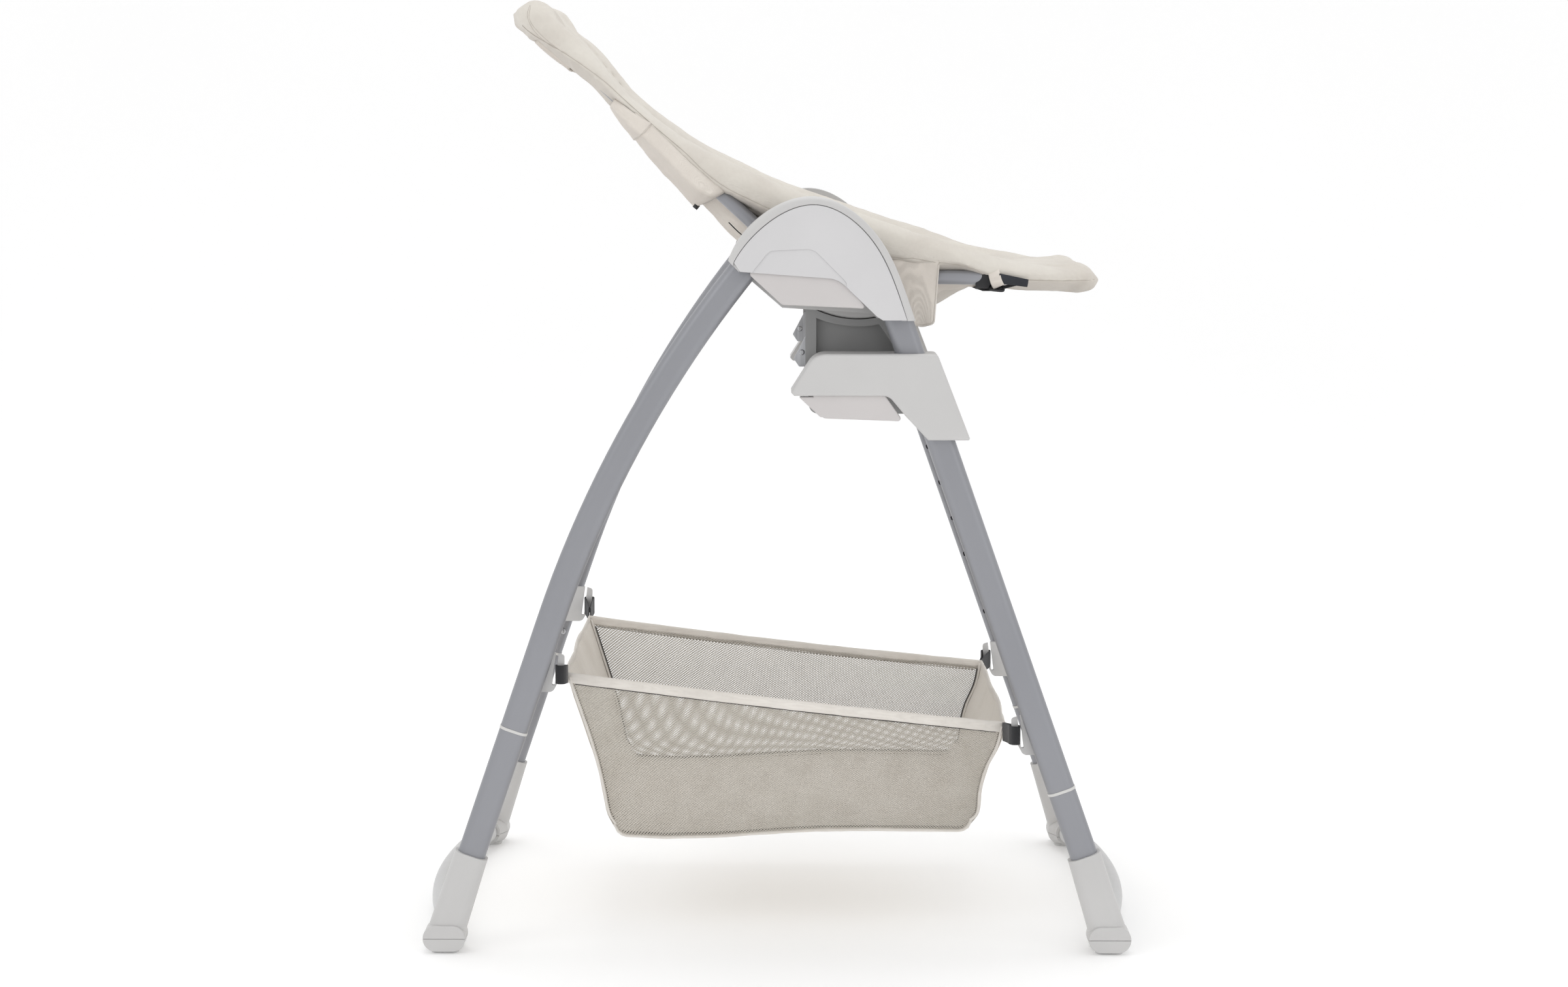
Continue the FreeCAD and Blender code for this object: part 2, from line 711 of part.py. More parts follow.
def pad_slab(y):
    """Side-view slab of the padded cover."""
    upper = [PAD_HEAD] + PAD_TOP + [PAD_END]
    lower = [PAD_END] + PAD_LOW + [PAD_HEAD]
    curves = [spline([Vector(x, -y, z) for x, z in side]) for side in (upper, lower)]
    return Part.Face(Part.Wire(curves)).extrude(Vector(0, 2 * y, 0))


def seat_plan():
    """Seat outline seen from above, as a tall block."""
    half = [(x, y, 45) for x, y in HALF_PLAN]
    return plan_slab(half + [(x, -y, r) for x, y, r in reversed(half)], 600, 1200)


HOLLOW_FLOOR = [
    (-262, 1036),
    (-195, 974),
    (-110, 888),
    (-40, 818),
    (25, 754),
    (75, 722),
    (125, 713),
    (170, 722),
    (235, 749),
    (318, 750),
]
HOLLOW_Y = 150.0


def hollow(half_y, drop):
    """The space the child lies in: open above the hollow's floor curve."""
    floor = spline([Vector(x, -half_y, z - drop) for x, z in HOLLOW_FLOOR])
    left = Vector(HOLLOW_FLOOR[0][0], -half_y, HOLLOW_FLOOR[0][1] - drop)
    right = Vector(HOLLOW_FLOOR[-1][0], -half_y, HOLLOW_FLOOR[-1][1] - drop)
    high_left = Vector(left.x, -half_y, 1120)
    high_right = Vector(right.x, -half_y, 1120)
    lines = [
        Part.LineSegment(right, high_right).toShape(),
        Part.LineSegment(high_right, high_left).toShape(),
        Part.LineSegment(high_left, left).toShape(),
    ]
    return Part.Face(Part.Wire([floor] + lines)).extrude(Vector(0, 2 * half_y, 0))


def make_seat():
    back = loop_path(BACK_PATH, HEAD_LOOP_Y, 120, 70)
    foot = loop_path(FOOT_PATH, FOOT_LOOP_Y, 120, 80)
    for name, path in (("back_tube", back), ("foot_tube", foot)):
        save(name, pipe(path, SEAT_TUBE_R).cut(pipe(path, SEAT_TUBE_R - 1.4)))
    channels = [pipe(path, SEAT_TUBE_R + SOFT_GAP) for path in (back, foot)]
    pad = pad_slab(230).common(seat_plan())
    space = hollow(HOLLOW_Y, 0)
    save("seat_pad", largest(pad.cut([space] + channels)))
    flap = slab(
        [
            (-192, 967, 0),
            (-205, 956, 0),
            (-165, 904, 6),
            (-115, 851, 6),
            (-98, 828, 0),
            (-60, 845, 0),
        ],
        -186,
        186,
    )
    flap = flap.cut([pad_slab(235).makeOffsetShape(0.5, 0.01, join=0)] + channels)
    save("back_flap", largest(flap))
    make_belly(space, channels)
    make_trims()
    make_harness()


def make_belly(space, channels):
    """Fabric sling below the tubes that carries the child's weight."""
    sling = slab(
        [
            (-82, 829, 3),
            (-46, 788, 20),
            (62, 702, 30),
            (171, 697, 8),
            (188, 721, 5),
            (211, 725, 4),
            (219.5, 730, 2),
            (219.5, 757, 0),
            (128, 772, 0),
            (-56, 840.5, 0),
        ],
        -182,
        182,
    )
    sling = sling.cut([pad_slab(235).makeOffsetShape(0.5, 0.01, join=0), space] + channels)
    save("belly_sling", largest(sling))
    hang = SEAT_TUBE_Y + SEAT_TUBE_R + 1.5
    flap = slab([(133, 780, 0), (178.5, 775, 0), (173, 698, 4), (145, 698, 4)], hang, hang + 2.0)
    flap = flap.cut(pad_slab(235).makeOffsetShape(0.5, 0.01, join=0))
    save_both("side_flaps", largest(flap))


def make_trims():
    """Webbing under the foot end, its slider, and a blank sewn label."""
    strap = slab([(226, 736, 0), (226, 738, 0), (250, 738, 0), (250, 736, 0)], -196, 196)
    strap = strap.cut(pad_slab(235).makeOffsetShape(0.5, 0.01, join=0))
    save("leg_webbing", largest(strap))
    frame = plan_slab([(221, -190, 2), (221, -176, 2), (255, -176, 2), (255, -190, 2)], 734, 740)
    window = plan_slab([(225, -187, 0), (225, -179, 0), (251, -179, 0), (251, -187, 0)], 730, 750)
    slider = frame.cut(window).cut(strap)
    save("webbing_buckle", largest(slider))
    label = slab([(249, 738, 0), (249, 755, 0), (280, 755, 0), (280, 738, 0)], -208.0, -207.0)
    label.rotate(Vector(264.5, -207.5, 746), Vector(0, 0, 1), 9.2)
    save("label_tab", label)


def floor_strip(x_low, x_high, y0, y1, lift, thick):
    """Flat webbing that follows the hollow's floor between two x planes."""
    above = hollow(300, -lift)
    under = hollow(300, -lift - thick)
    block = Part.makeBox(x_high - x_low, y1 - y0, 300, Vector(x_low, y0, 700))
    return block.common(above).cut(under)


def make_harness():
    """Waist and crotch webbing on the hollow's floor, with one buckle."""
    waist = floor_strip(20, 42, -148, 148, 1.0, 2.0)
    crotch = floor_strip(42.5, 96, -12, 12, 1.0, 2.0)
    save("harness_straps", waist, crotch)
    block = floor_strip(16, 50, -18, 18, 3.4, 12.0)
    save("harness_buckle", block)


# ---- basket --------------------------------------------------------------------
def basket_block(inset):
    """Tapered block of the basket's outside, or its inside when inset."""
    levels = ((112, -190, 228, 196), (200, -207, 240, 206), (330, -244, 264, 220))
    wires = []
    for z, x0, x1, y in levels:
        raised = z + (inset if z == levels[0][0] else 0)
        corners = [(x0, -y), (x1, -y), (x1, y), (x0, y)]
        sign = [(1, 1), (-1, 1), (-1, -1), (1, -1)]
        points = [
            (Vector(cx + sx * inset, cy + sy * inset, raised), 14 - inset)
            for (cx, cy), (sx, sy) in zip(corners, sign)
        ]
        wires.append(rounded_wire(points))
    return Part.makeLoft(wires, True, True)


def rim_z(x):
    """Height of the slanting rim."""
    return 309.0 - 0.121 * (x + 240.0)


def make_basket():
    above = Part.Face(
        Part.makePolygon(
            [
                Vector(-300, -260, rim_z(-300)),
                Vector(300, -260, rim_z(300)),
                Vector(300, -260, 420),
                Vector(-300, -260, 420),
                Vector(-300, -260, rim_z(-300)),
            ]
        )
    ).extrude(Vector(0, 520, 0))
    save("basket", basket_block(0).cut([basket_block(3.0), above]))


def clip(x, z, side, lean):
    """Hook plate on a leg's inner face; side points to the basket's middle."""
    foot_x = x - lean * 21
    head_x = x + lean * 24
    plate = slab(
        [
            (foot_x - side * 8, z - 21, 3),
            (foot_x + side * 29, z - 21, 7),
            (x + side * 34.5, z + 3, 6),
            (x + side * 35, z + 20, 3.4),
            (x + side * 26, z + 23, 2),
            (head_x - side * 8, z + 24, 3),
        ],
        LEG_IN - 5.5,
        LEG_IN,
    )
    slot_x = x + side * 25.2
    slot = slab(
        [
            (slot_x - 1.6 - lean * 8, z - 13, 1),
            (slot_x + 1.6 - lean * 8, z - 13, 1),
            (slot_x + 1.6 + lean * 8, z + 30, 0),
            (slot_x - 1.6 + lean * 8, z + 30, 0),
        ],
        LEG_IN - 8,
        LEG_IN + 2,
    )
    return largest(plate.cut(slot))


def clip_strap(x, z, corner_x, corner_y):
    """Short webbing loop from the clip to the corner of the basket."""
    start = Vector(x, LEG_IN - 6.2, 0)
    end = Vector(corner_x, corner_y, 0)
    run = (end - start).normalize()
    normal = Vector(-run.y, run.x, 0).multiply(1.4)
    corners = [start - normal, start + normal, end + normal, end - normal]
    wire = rounded_wire([(Vector(p.x, p.y, z - STRAP_TALL / 2), 0) for p in corners])
    return Part.Face(wire).extrude(Vector(0, 0, STRAP_TALL))


def make_clips():
    rear_z = 312.0
    rear_clip_x = rear_x(rear_z)
    save_both("rear_basket_clips", clip(rear_clip_x, rear_z, 1, REAR_LEAN))
    save_both("rear_basket_straps", clip_strap(rear_clip_x + 31, rear_z - 2, -237, 221))
    front_z = 242.0
    front_clip_x = front_x(front_z)
    save_both("front_basket_clips", clip(front_clip_x, front_z, -1, FRONT_LEAN))
    save_both("front_basket_straps", clip_strap(front_clip_x - 31, front_z - 1, 255, 219))


# ---- build -----------------------------------------------------------------------
def main():
    make_front_legs()
    make_rear_legs()
    make_base("front", 1, front_x, FRONT_DIR)
    make_base("rear", -1, rear_x, REAR_DIR)
    make_hubs()
    make_carriages()
    make_carrier()
    make_adapters()
    make_seat()
    make_basket()
    make_clips()
    os.makedirs("parts", exist_ok=True)
    for name, shape in sorted(PARTS.items()):
        if not shape.isValid():
            print("not valid:", name)
        shape.exportStep(os.path.join("parts", name + ".step"))
    print(len(PARTS), "parts")


main()
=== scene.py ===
import json
import math

import bmesh
import bpy
import numpy as np
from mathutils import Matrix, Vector, noise
from mathutils.bvhtree import BVHTree
from mathutils.kdtree import KDTree


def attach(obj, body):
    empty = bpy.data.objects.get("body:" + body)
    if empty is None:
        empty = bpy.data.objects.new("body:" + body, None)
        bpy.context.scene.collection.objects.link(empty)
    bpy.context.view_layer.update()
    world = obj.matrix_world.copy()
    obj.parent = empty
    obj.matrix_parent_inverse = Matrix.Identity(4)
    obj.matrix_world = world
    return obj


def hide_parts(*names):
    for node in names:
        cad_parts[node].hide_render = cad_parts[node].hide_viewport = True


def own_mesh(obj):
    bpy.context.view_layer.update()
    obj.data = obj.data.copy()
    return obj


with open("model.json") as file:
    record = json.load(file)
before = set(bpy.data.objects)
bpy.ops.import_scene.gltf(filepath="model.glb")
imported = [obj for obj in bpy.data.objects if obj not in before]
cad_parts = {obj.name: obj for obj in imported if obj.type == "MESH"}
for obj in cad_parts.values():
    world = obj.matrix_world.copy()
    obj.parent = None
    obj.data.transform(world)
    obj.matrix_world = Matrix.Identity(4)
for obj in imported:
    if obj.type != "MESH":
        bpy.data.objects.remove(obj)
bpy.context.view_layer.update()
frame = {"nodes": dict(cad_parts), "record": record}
NODES = frame["nodes"]
MM = 0.001
SIDES = ((-1, "right"), (1, "left"))


# ---- colour and node helpers ------------------------------------------------
def srgb(red, green, blue):
    """Linear RGBA of a 0-255 screen colour."""
    linear = []
    for value in (red, green, blue):
        part = value / 255
        linear.append(part / 12.92 if part <= 0.04045 else ((part + 0.055) / 1.055) ** 2.4)
    return (*linear, 1.0)


def shaded(colour, factor):
    return (colour[0] * factor, colour[1] * factor, colour[2] * factor, 1.0)


class Shader:
    """A Principled material with a few short ways to add nodes."""

    def __init__(self, name, rough, metallic=0.0, sheen=0.0, specular=0.5):
        self.material = bpy.data.materials.new(name)
        self.material.use_nodes = True
        self.tree = self.material.node_tree
        self.bsdf = self.tree.nodes["Principled BSDF"]
        start = {
            "Roughness": rough,
            "Metallic": metallic,
            "Sheen Weight": sheen,
            "Sheen Roughness": 0.4,
            "Specular IOR Level": specular,
        }
        for socket, value in start.items():
            self.bsdf.inputs[socket].default_value = value
        self.where = self.add("ShaderNodeTexCoord").outputs["Object"]

    def add(self, kind, sockets=None, **values):
        """New node with its settings; a socket gets a value or a link."""
        node = self.tree.nodes.new(kind)
        for key, value in values.items():
            setattr(node, key, value)
        for socket, value in (sockets or {}).items():
            if isinstance(value, bpy.types.NodeSocket):
                self.link(value, node.inputs[socket])
            else:
                node.inputs[socket].default_value = value
        return node

    def link(self, source, target):
        self.tree.links.new(source, target)

    def mapped(self, **sockets):
        """Object coordinates, stretched or turned."""
        return self.add("ShaderNodeMapping", {"Vector": self.where, **sockets}).outputs["Vector"]

    def noise(self, scale, detail=3.0, stretch=None):
        where = self.where if stretch is None else self.mapped(Scale=stretch)
        node = self.add("ShaderNodeTexNoise", {"Scale": scale, "Detail": detail, "Vector": where})
        return node.outputs["Fac"]

    def wave(self, scale, turn, distort):
        """Fine parallel ribs across the axis that the turn gives."""
        where = self.mapped(Rotation=turn)
        sockets = {"Scale": scale, "Distortion": distort, "Detail": 1.0, "Vector": where}
        node = self.add("ShaderNodeTexWave", sockets, wave_type="BANDS", bands_direction="X")
        return node.outputs["Fac"]

    def ramp(self, source, low, high, start=0.3, end=0.7):
        node = self.add("ShaderNodeValToRGB")
        node.color_ramp.elements[0].position = start
        node.color_ramp.elements[0].color = low
        node.color_ramp.elements[1].position = end
        node.color_ramp.elements[1].color = high
        self.link(source, node.inputs["Fac"])
        return node.outputs["Color"]

    def math(self, kind, first, second):
        node = self.add("ShaderNodeMath", {0: first, 1: second}, operation=kind)
        return node.outputs["Value"]

    def mix(self, factor, first, second):
        """One colour turning into the other by a factor output."""
        sockets = {"Factor": factor, 6: first, 7: second}
        return self.add("ShaderNodeMix", sockets, data_type="RGBA").outputs[2]

    def shade_below_mask(self):
        """Mask of the painted shade: 0 on upright and upward faces, rising to 1 on faces that look down."""
        normal = self.add("ShaderNodeNewGeometry").outputs["Normal"]
        height = self.add("ShaderNodeSeparateXYZ", {"Vector": normal}).outputs["Z"]
        node = self.add("ShaderNodeMapRange", {"From Min": -0.2, "From Max": -0.75, "Value": height})
        return node.outputs["Result"]

    def colour(self, source):
        self.link(source, self.bsdf.inputs["Base Color"])

    def roughness(self, source, low, high):
        node = self.add("ShaderNodeMapRange", {"To Min": low, "To Max": high, "Value": source})
        self.link(node.outputs["Result"], self.bsdf.inputs["Roughness"])

    def bump(self, height, strength, distance, bevel=0.0):
        sockets = {"Strength": strength, "Distance": distance, "Height": height}
        if bevel:
            sockets["Normal"] = self.add("ShaderNodeBevel", {"Radius": bevel}, samples=6).outputs["Normal"]
        node = self.add("ShaderNodeBump", sockets)
        self.link(node.outputs["Normal"], self.bsdf.inputs["Normal"])


# ---- hard finishes ------------------------------------------------------------
def plastic(name, colour, rough, grain=1400.0, bevel=0.0008, strength=0.12):
    """Moulded plastic: spark-eroded grain, slight colour drift, soft edges."""
    shader = Shader(name, rough)
    drift = shader.noise(9.0, 2.0)
    shader.colour(shader.ramp(drift, shaded(colour, 0.965), shaded(colour, 1.03)))
    shader.roughness(shader.noise(45.0, 4.0), rough - 0.05, rough + 0.08)
    shader.bump(shader.noise(grain, 2.0), strength, 0.0003, bevel)
    return shader.material


def paint(name, colour, rough, metallic):
    """Satin powder coat: fine orange peel, with the metal sparkle as painted glints: lighter flecks in the
    colour.
    """
    shader = Shader(name, rough, metallic)
    # Painted glint: random lighter flecks stand in for the sparkle of metal flakes.
    glint_flecks = shader.noise(2600.0, 1.0)
    broad = shader.noise(5.0, 2.0)
    base = shader.ramp(broad, shaded(colour, 0.96), shaded(colour, 1.04))
    shader.colour(shader.mix(shader.math("MULTIPLY", glint_flecks, 0.22), base, shaded(colour, 1.25)))
    shader.roughness(shader.noise(60.0, 3.0), rough - 0.05, rough + 0.07)
    shader.bump(shader.noise(700.0, 3.0), 0.1, 0.0002, 0.0006)
    return shader.material


def metal(name, colour, rough):
    """Zinc-plated steel with faint rolling marks."""
    shader = Shader(name, rough, 1.0)
    marks = shader.noise(400.0, 4.0, (1.0, 1.0, 0.06))
    shader.colour(shader.ramp(marks, shaded(colour, 0.8), shaded(colour, 1.1)))
    shader.roughness(marks, rough - 0.08, rough + 0.12)
    shader.bump(marks, 0.15, 0.0002, 0.0004)
    return shader.material


def rubber(name, colour):
    shader = Shader(name, 0.75, specular=0.35)
    scuffs = shader.noise(120.0, 5.0)
    shader.colour(shader.ramp(scuffs, shaded(colour, 0.9), shaded(colour, 1.05)))
    shader.bump(shader.noise(900.0, 2.0), 0.25, 0.0004, 0.0008)
    return shader.material


# ---- cloth finishes --------------------------------------------------------------
def cloth(name, colour, shade, weave=820.0, depth=0.35, sheen=0.25, mottle=14.0, under=1.0):
    """Woven cotton: crossing threads, slubs and a soft uneven tone.

    Faces that look down get painted shade: they are darker by the factor under.
    """
    shader = Shader(name, 0.88, sheen=sheen, specular=0.25)
    warp = shader.wave(weave, (0.0, 0.6, 0.0), 1.2)
    weft = shader.wave(weave, (0.0, 0.0, math.pi / 2), 1.2)
    threads = shader.math("MULTIPLY", warp, weft)
    slubs = shader.noise(260.0, 5.0, (1.0, 0.35, 1.0))
    soft = shader.noise(mottle, 3.0)
    base = shader.ramp(soft, shade, colour, 0.25, 0.62)
    grainy = shader.ramp(slubs, shaded(shade, 0.97), shaded(colour, 1.02), 0.35, 0.65)
    woven = shader.mix(shader.math("MULTIPLY", threads, 0.5), base, grainy)
    # Painted shade: faces that look down are mixed towards the shade colour.
    if under < 1.0:
        woven = shader.mix(shader.shade_below_mask(), woven, shaded(shade, under))
    shader.colour(woven)
    shader.roughness(slubs, 0.8, 0.95)
    height = shader.math("ADD", threads, shader.math("MULTIPLY", slubs, 0.7))
    shader.bump(height, depth, 0.0006)
    return shader.material


def webbing(name, colour, rib=1100.0):
    """Ribbed woven strap."""
    shader = Shader(name, 0.7, sheen=0.15, specular=0.3)
    ribs = shader.wave(rib, (0.0, 0.0, 0.0), 0.4)
    fuzz = shader.noise(700.0, 4.0)
    tone = shader.ramp(ribs, shaded(colour, 0.7), shaded(colour, 1.25), 0.2, 0.8)
    shader.colour(shader.mix(shader.math("MULTIPLY", fuzz, 0.35), tone, shaded(colour, 0.8)))
    shader.bump(shader.math("ADD", ribs, fuzz), 0.5, 0.0006)
    return shader.material


# Each _SHADE colour is the darker end of its cloth's random mottle, and also its painted shade on faces that
# look down.
CREAM = srgb(223, 218, 209)
CREAM_SHADE = srgb(209, 202, 193)
FLAP = srgb(232, 225, 216)
FLAP_SHADE = srgb(221, 213, 204)
MATERIALS = {
    "frame_paint": paint("frame_paint", srgb(146, 147, 152), 0.36, 0.35),
    "cross_paint": paint("cross_paint", srgb(192, 192, 192), 0.4, 0.15),
    "shell_plastic": plastic("shell_plastic", srgb(199, 198, 197), 0.46),
    "cover_plastic": plastic("cover_plastic", srgb(207, 206, 207), 0.34, 1800.0, 0.0008, 0.06),
    "lever_plastic": plastic("lever_plastic", srgb(203, 199, 198), 0.5),
    "ring_plastic": plastic("ring_plastic", srgb(211, 210, 208), 0.45),
    "glide_rubber": rubber("glide_rubber", srgb(208, 208, 207)),
    "carrier_plastic": plastic("carrier_plastic", srgb(150, 150, 150), 0.5),
    "zinc_steel": metal("zinc_steel", srgb(188, 189, 192), 0.32),
    "spring_steel": metal("spring_steel", srgb(150, 150, 153), 0.28),
    # The last number of seat_fabric and flap_fabric darkens faces that look down: painted shade.
    "seat_fabric": cloth("seat_fabric", CREAM, CREAM_SHADE, under=0.94),
    "flap_fabric": cloth("flap_fabric", FLAP, FLAP_SHADE, 760.0, 0.45, 0.2, 18.0, 0.92),
    "basket_fabric": cloth("basket_fabric", srgb(236, 230, 221), srgb(226, 219, 209), 700.0, 0.4),
    "black_webbing": webbing("black_webbing", srgb(58, 58, 60)),
    "black_plastic": plastic("black_plastic", srgb(44, 45, 47), 0.42),
    "label_fabric": cloth("label_fabric", srgb(62, 64, 70), srgb(50, 52, 57), 1500.0, 0.25, 0.1),
}
NET = cloth("net_yarn", srgb(224, 218, 208), srgb(212, 205, 194), 1500.0, 0.3, 0.2, 40.0)
# Colour of the painted shade inside the net's holes.
NET_HOLE_SHADE = cloth("net_hole_shade", srgb(158, 152, 144), srgb(142, 136, 128), 1500.0, 0.3, 0.1, 40.0)
SEAM = cloth("seam_thread", srgb(196, 189, 180), srgb(184, 177, 168), 1900.0, 0.3, 0.1, 60.0)
RIM_TAPE = cloth("rim_tape", srgb(236, 231, 224), srgb(226, 220, 212), 900.0, 0.4, 0.25, 20.0)
STITCH = cloth("dark_stitch", srgb(96, 94, 92), srgb(84, 82, 80), 1900.0, 0.3, 0.1, 60.0)
BINDING = cloth("binding_tape", srgb(226, 220, 212), srgb(214, 207, 198), 900.0, 0.4, 0.25, 20.0)


def dress_cad():
    """Give every CAD node the finish of its material slot in the record."""
    for entry in frame["record"]["subparts"]:
        node = NODES[entry["node"]]
        node.data.materials.clear()
        node.data.materials.append(MATERIALS[entry["material_slot"]])


# Spring, joint, height of its fixed end and free length, in metres.
SPRINGS = (
    ("fold_spring_", "fold_lever_", 0.796, 0.0236),
    ("height_spring_", "height_grip_", 0.6616, 0.0162),
)


def squeeze_springs():
    """Give each coil spring its own copy of its mesh."""
    for side in ("left", "right"):
        for spring, joint, top, length in SPRINGS:
            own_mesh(NODES[spring + side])


dress_cad()
squeeze_springs()


# ---- curve and mesh helpers ---------------------------------------------------------
FINE = 24                # steps between two points of a curve before it is sampled


def with_ends(points):
    """Points as an array, with one more at each end that carries the line on."""
    p = np.array(points, float)
    return np.vstack([2 * p[0] - p[1], p, 2 * p[-1] - p[-2]])


def between(four, t):
    """Catmull-Rom point between the middle two of four points."""
    a, b, c, d = four
    return 0.5 * (2 * b + (c - a) * t + (2 * a - 5 * b + 4 * c - d) * t * t + (3 * b - a - 3 * c + d) * t**3)


def smooth_line(points, count):
    """Catmull-Rom curve through points, with samples evenly spaced along it."""
    padded = with_ends(points)
    dense = []
    for index in range(len(padded) - 3):
        dense += [between(padded[index : index + 4], step / FINE) for step in range(FINE)]
    dense = np.array([*dense, padded[-2]])
    run = np.concatenate([[0], np.cumsum(np.linalg.norm(np.diff(dense, axis=0), axis=1))])
    at = np.linspace(0, run[-1], count)
    return np.stack([np.interp(at, run, dense[:, k]) for k in range(dense.shape[1])], axis=1)


def blended(table, count):
    """Smooth rows through the rows of a table, evenly by index."""
    padded = with_ends(table)
    last = len(padded) - 3
    rows = []
    for place in np.linspace(0, last, count):
        index = min(int(place), last - 1)
        rows.append(between(padded[index : index + 4], place - index))
    return np.array(rows)


def new_object(name, points, faces, slot_name, material=None):
    """Mesh object from points in millimetres, in the slot's own material or another."""
    mesh = bpy.data.meshes.new(name)
    mesh.from_pydata([tuple(float(v) * MM for v in p) for p in points], [], faces)
    mesh.validate()
    mesh.update()
    made = bpy.data.objects.new(name, mesh)
    bpy.context.scene.collection.objects.link(made)
    mesh.materials.append(material or MATERIALS[slot_name])
    smooth_shading(made)
    return made


def grid_faces(rows, columns, close_columns=False, close_rows=False):
    faces = []
    for i in range(rows if close_rows else rows - 1):
        n = (i + 1) % rows
        for j in range(columns if close_columns else columns - 1):
            k = (j + 1) % columns
            faces.append((i * columns + j, i * columns + k, n * columns + k, n * columns + j))
    return faces


def loft(name, rings, slot_name, material=None):
    """Closed form through rings of equally many points, with flat ends."""
    rings = np.array(rings, float)
    rows, columns = rings.shape[:2]
    faces = grid_faces(rows, columns, True)
    faces.append(tuple(reversed(range(columns))))
    faces.append(tuple((rows - 1) * columns + j for j in range(columns)))
    made = new_object(name, rings.reshape(-1, 3), faces, slot_name, material)
    face_outward(made)
    return made


def face_outward(made):
    work = bmesh.new()
    work.from_mesh(made.data)
    bmesh.ops.recalc_face_normals(work, faces=work.faces)
    work.to_mesh(made.data)
    work.free()


def smooth_shading(made):
    made.data.polygons.foreach_set("use_smooth", [True] * len(made.data.polygons))


def apply_modifiers(made):
    """Replace the mesh by its evaluated form and drop the modifiers."""
    graph = bpy.context.evaluated_depsgraph_get()
    final = bpy.data.meshes.new_from_object(made.evaluated_get(graph))
    made.modifiers.clear()
    made.data = final
    return made


def vertex_data(made, kind):
    flat = np.zeros(len(made.data.vertices) * 3, np.float32)
    made.data.vertices.foreach_get(kind, flat)
    return flat.reshape(-1, 3).astype(float)


def coordinates(made):
    return vertex_data(made, "co")


def set_coordinates(made, points):
    made.data.vertices.foreach_set("co", points.astype(np.float32).ravel())
    made.data.update()


def point_tree(points):
    tree = KDTree(len(points))
    for index, point in enumerate(points):
        tree.insert(Vector(point), index)
    tree.balance()
    return tree


def tube(name, line, radius, slot_name, material=None, around=10, flat=1.0):
    """Round or flattened tube along a line of points, in millimetres."""
    line = np.array(line, float)
    rings = []
    side = None
    for index, point in enumerate(line):
        ahead = line[min(index + 1, len(line) - 1)] - line[max(index - 1, 0)]
        ahead = ahead / np.linalg.norm(ahead)
        if side is None:
            helper = np.array([0.0, 0.0, 1.0]) if abs(ahead[2]) < 0.9 else np.array([1.0, 0.0, 0.0])
            side = np.cross(ahead, helper)
        side = side - ahead * (side @ ahead)
        side = side / np.linalg.norm(side)
        up = np.cross(side, ahead)
        ring = []
        for k in range(around):
            angle = 2 * math.pi * k / around
            ring.append(point + radius * (math.cos(angle) * side + flat * math.sin(angle) * up))
        rings.append(ring)
    return loft(name, rings, slot_name, material)


# ---- padded seat cover -----------------------------------------------------------------
# Each row is one cross-section from head to foot, in millimetres: top of the side roll
# (x, z), widest point (x, z), its underside (x, z), hollow floor (x, z), belly (x, z) and
# half the width.
SEAT_ROWS = [
    (-300, 1054, -307, 1044, -301, 1033, -300, 1050, -300, 1036, 104),
    (-284, 1062, -299, 1045, -294, 1028, -285, 1057, -290, 1031, 134),
    (-266, 1054, -281, 1030, -282, 1018, -270, 1046, -275, 1023, 156),
    (-247, 1037.5, -259, 1014, -258, 1003, -251, 1025, -251, 1010, 174),
    (-222, 1014, -234, 994, -236, 986, -227, 1001, -230, 988, 187),
    (-198, 986, -206, 972, -209, 967, -202, 975, -204, 963, 196),
    (-175.5, 959.5, -184, 951, -188, 946, -179, 949, -184, 939, 200),
    (-150, 938, -156, 927, -162, 919, -156, 927, -163, 915, 204),
    (-121, 916.5, -130, 902, -135, 894, -128, 898, -135, 886, 212),
    (-88, 896, -102, 877, -107, 866, -98, 866, -108, 852, 218),
    (-53, 880, -70, 855, -75, 846, -64, 834, -74, 822, 222),
    (-14, 862, -27, 836, -31, 829, -28, 800, -38, 788, 223),
    (28, 846, 18, 816, 15, 808, 10, 768, 0, 754, 224),
    (80, 829, 74, 791, 73, 784, 62, 732, 56, 716, 223),
    (128, 813.5, 126, 775, 126, 766, 116, 716, 114, 700, 222),
    (175, 797.5, 172, 768, 172, 760, 170, 722, 169, 707, 220),
    (207, 784, 204, 767, 204, 760, 213, 742, 213, 731, 217),
    (239, 773, 237, 757, 236, 748, 246, 752, 246, 740, 211),
    (271, 765.5, 271, 752, 268, 741, 275, 755, 274, 737, 201),
    (306, 760, 307, 750, 303, 739, 306, 756, 304, 737, 187),
    (334, 759, 338, 748, 332, 736, 335, 755, 333, 736, 167),
    (349, 762.5, 356, 748, 347, 734, 349, 758, 347, 735, 160),
    (358, 758, 364, 747, 357, 733, 358, 755, 357, 734, 145),
    (363, 752, 367, 745, 363, 737, 363, 751, 363, 737, 127),
]


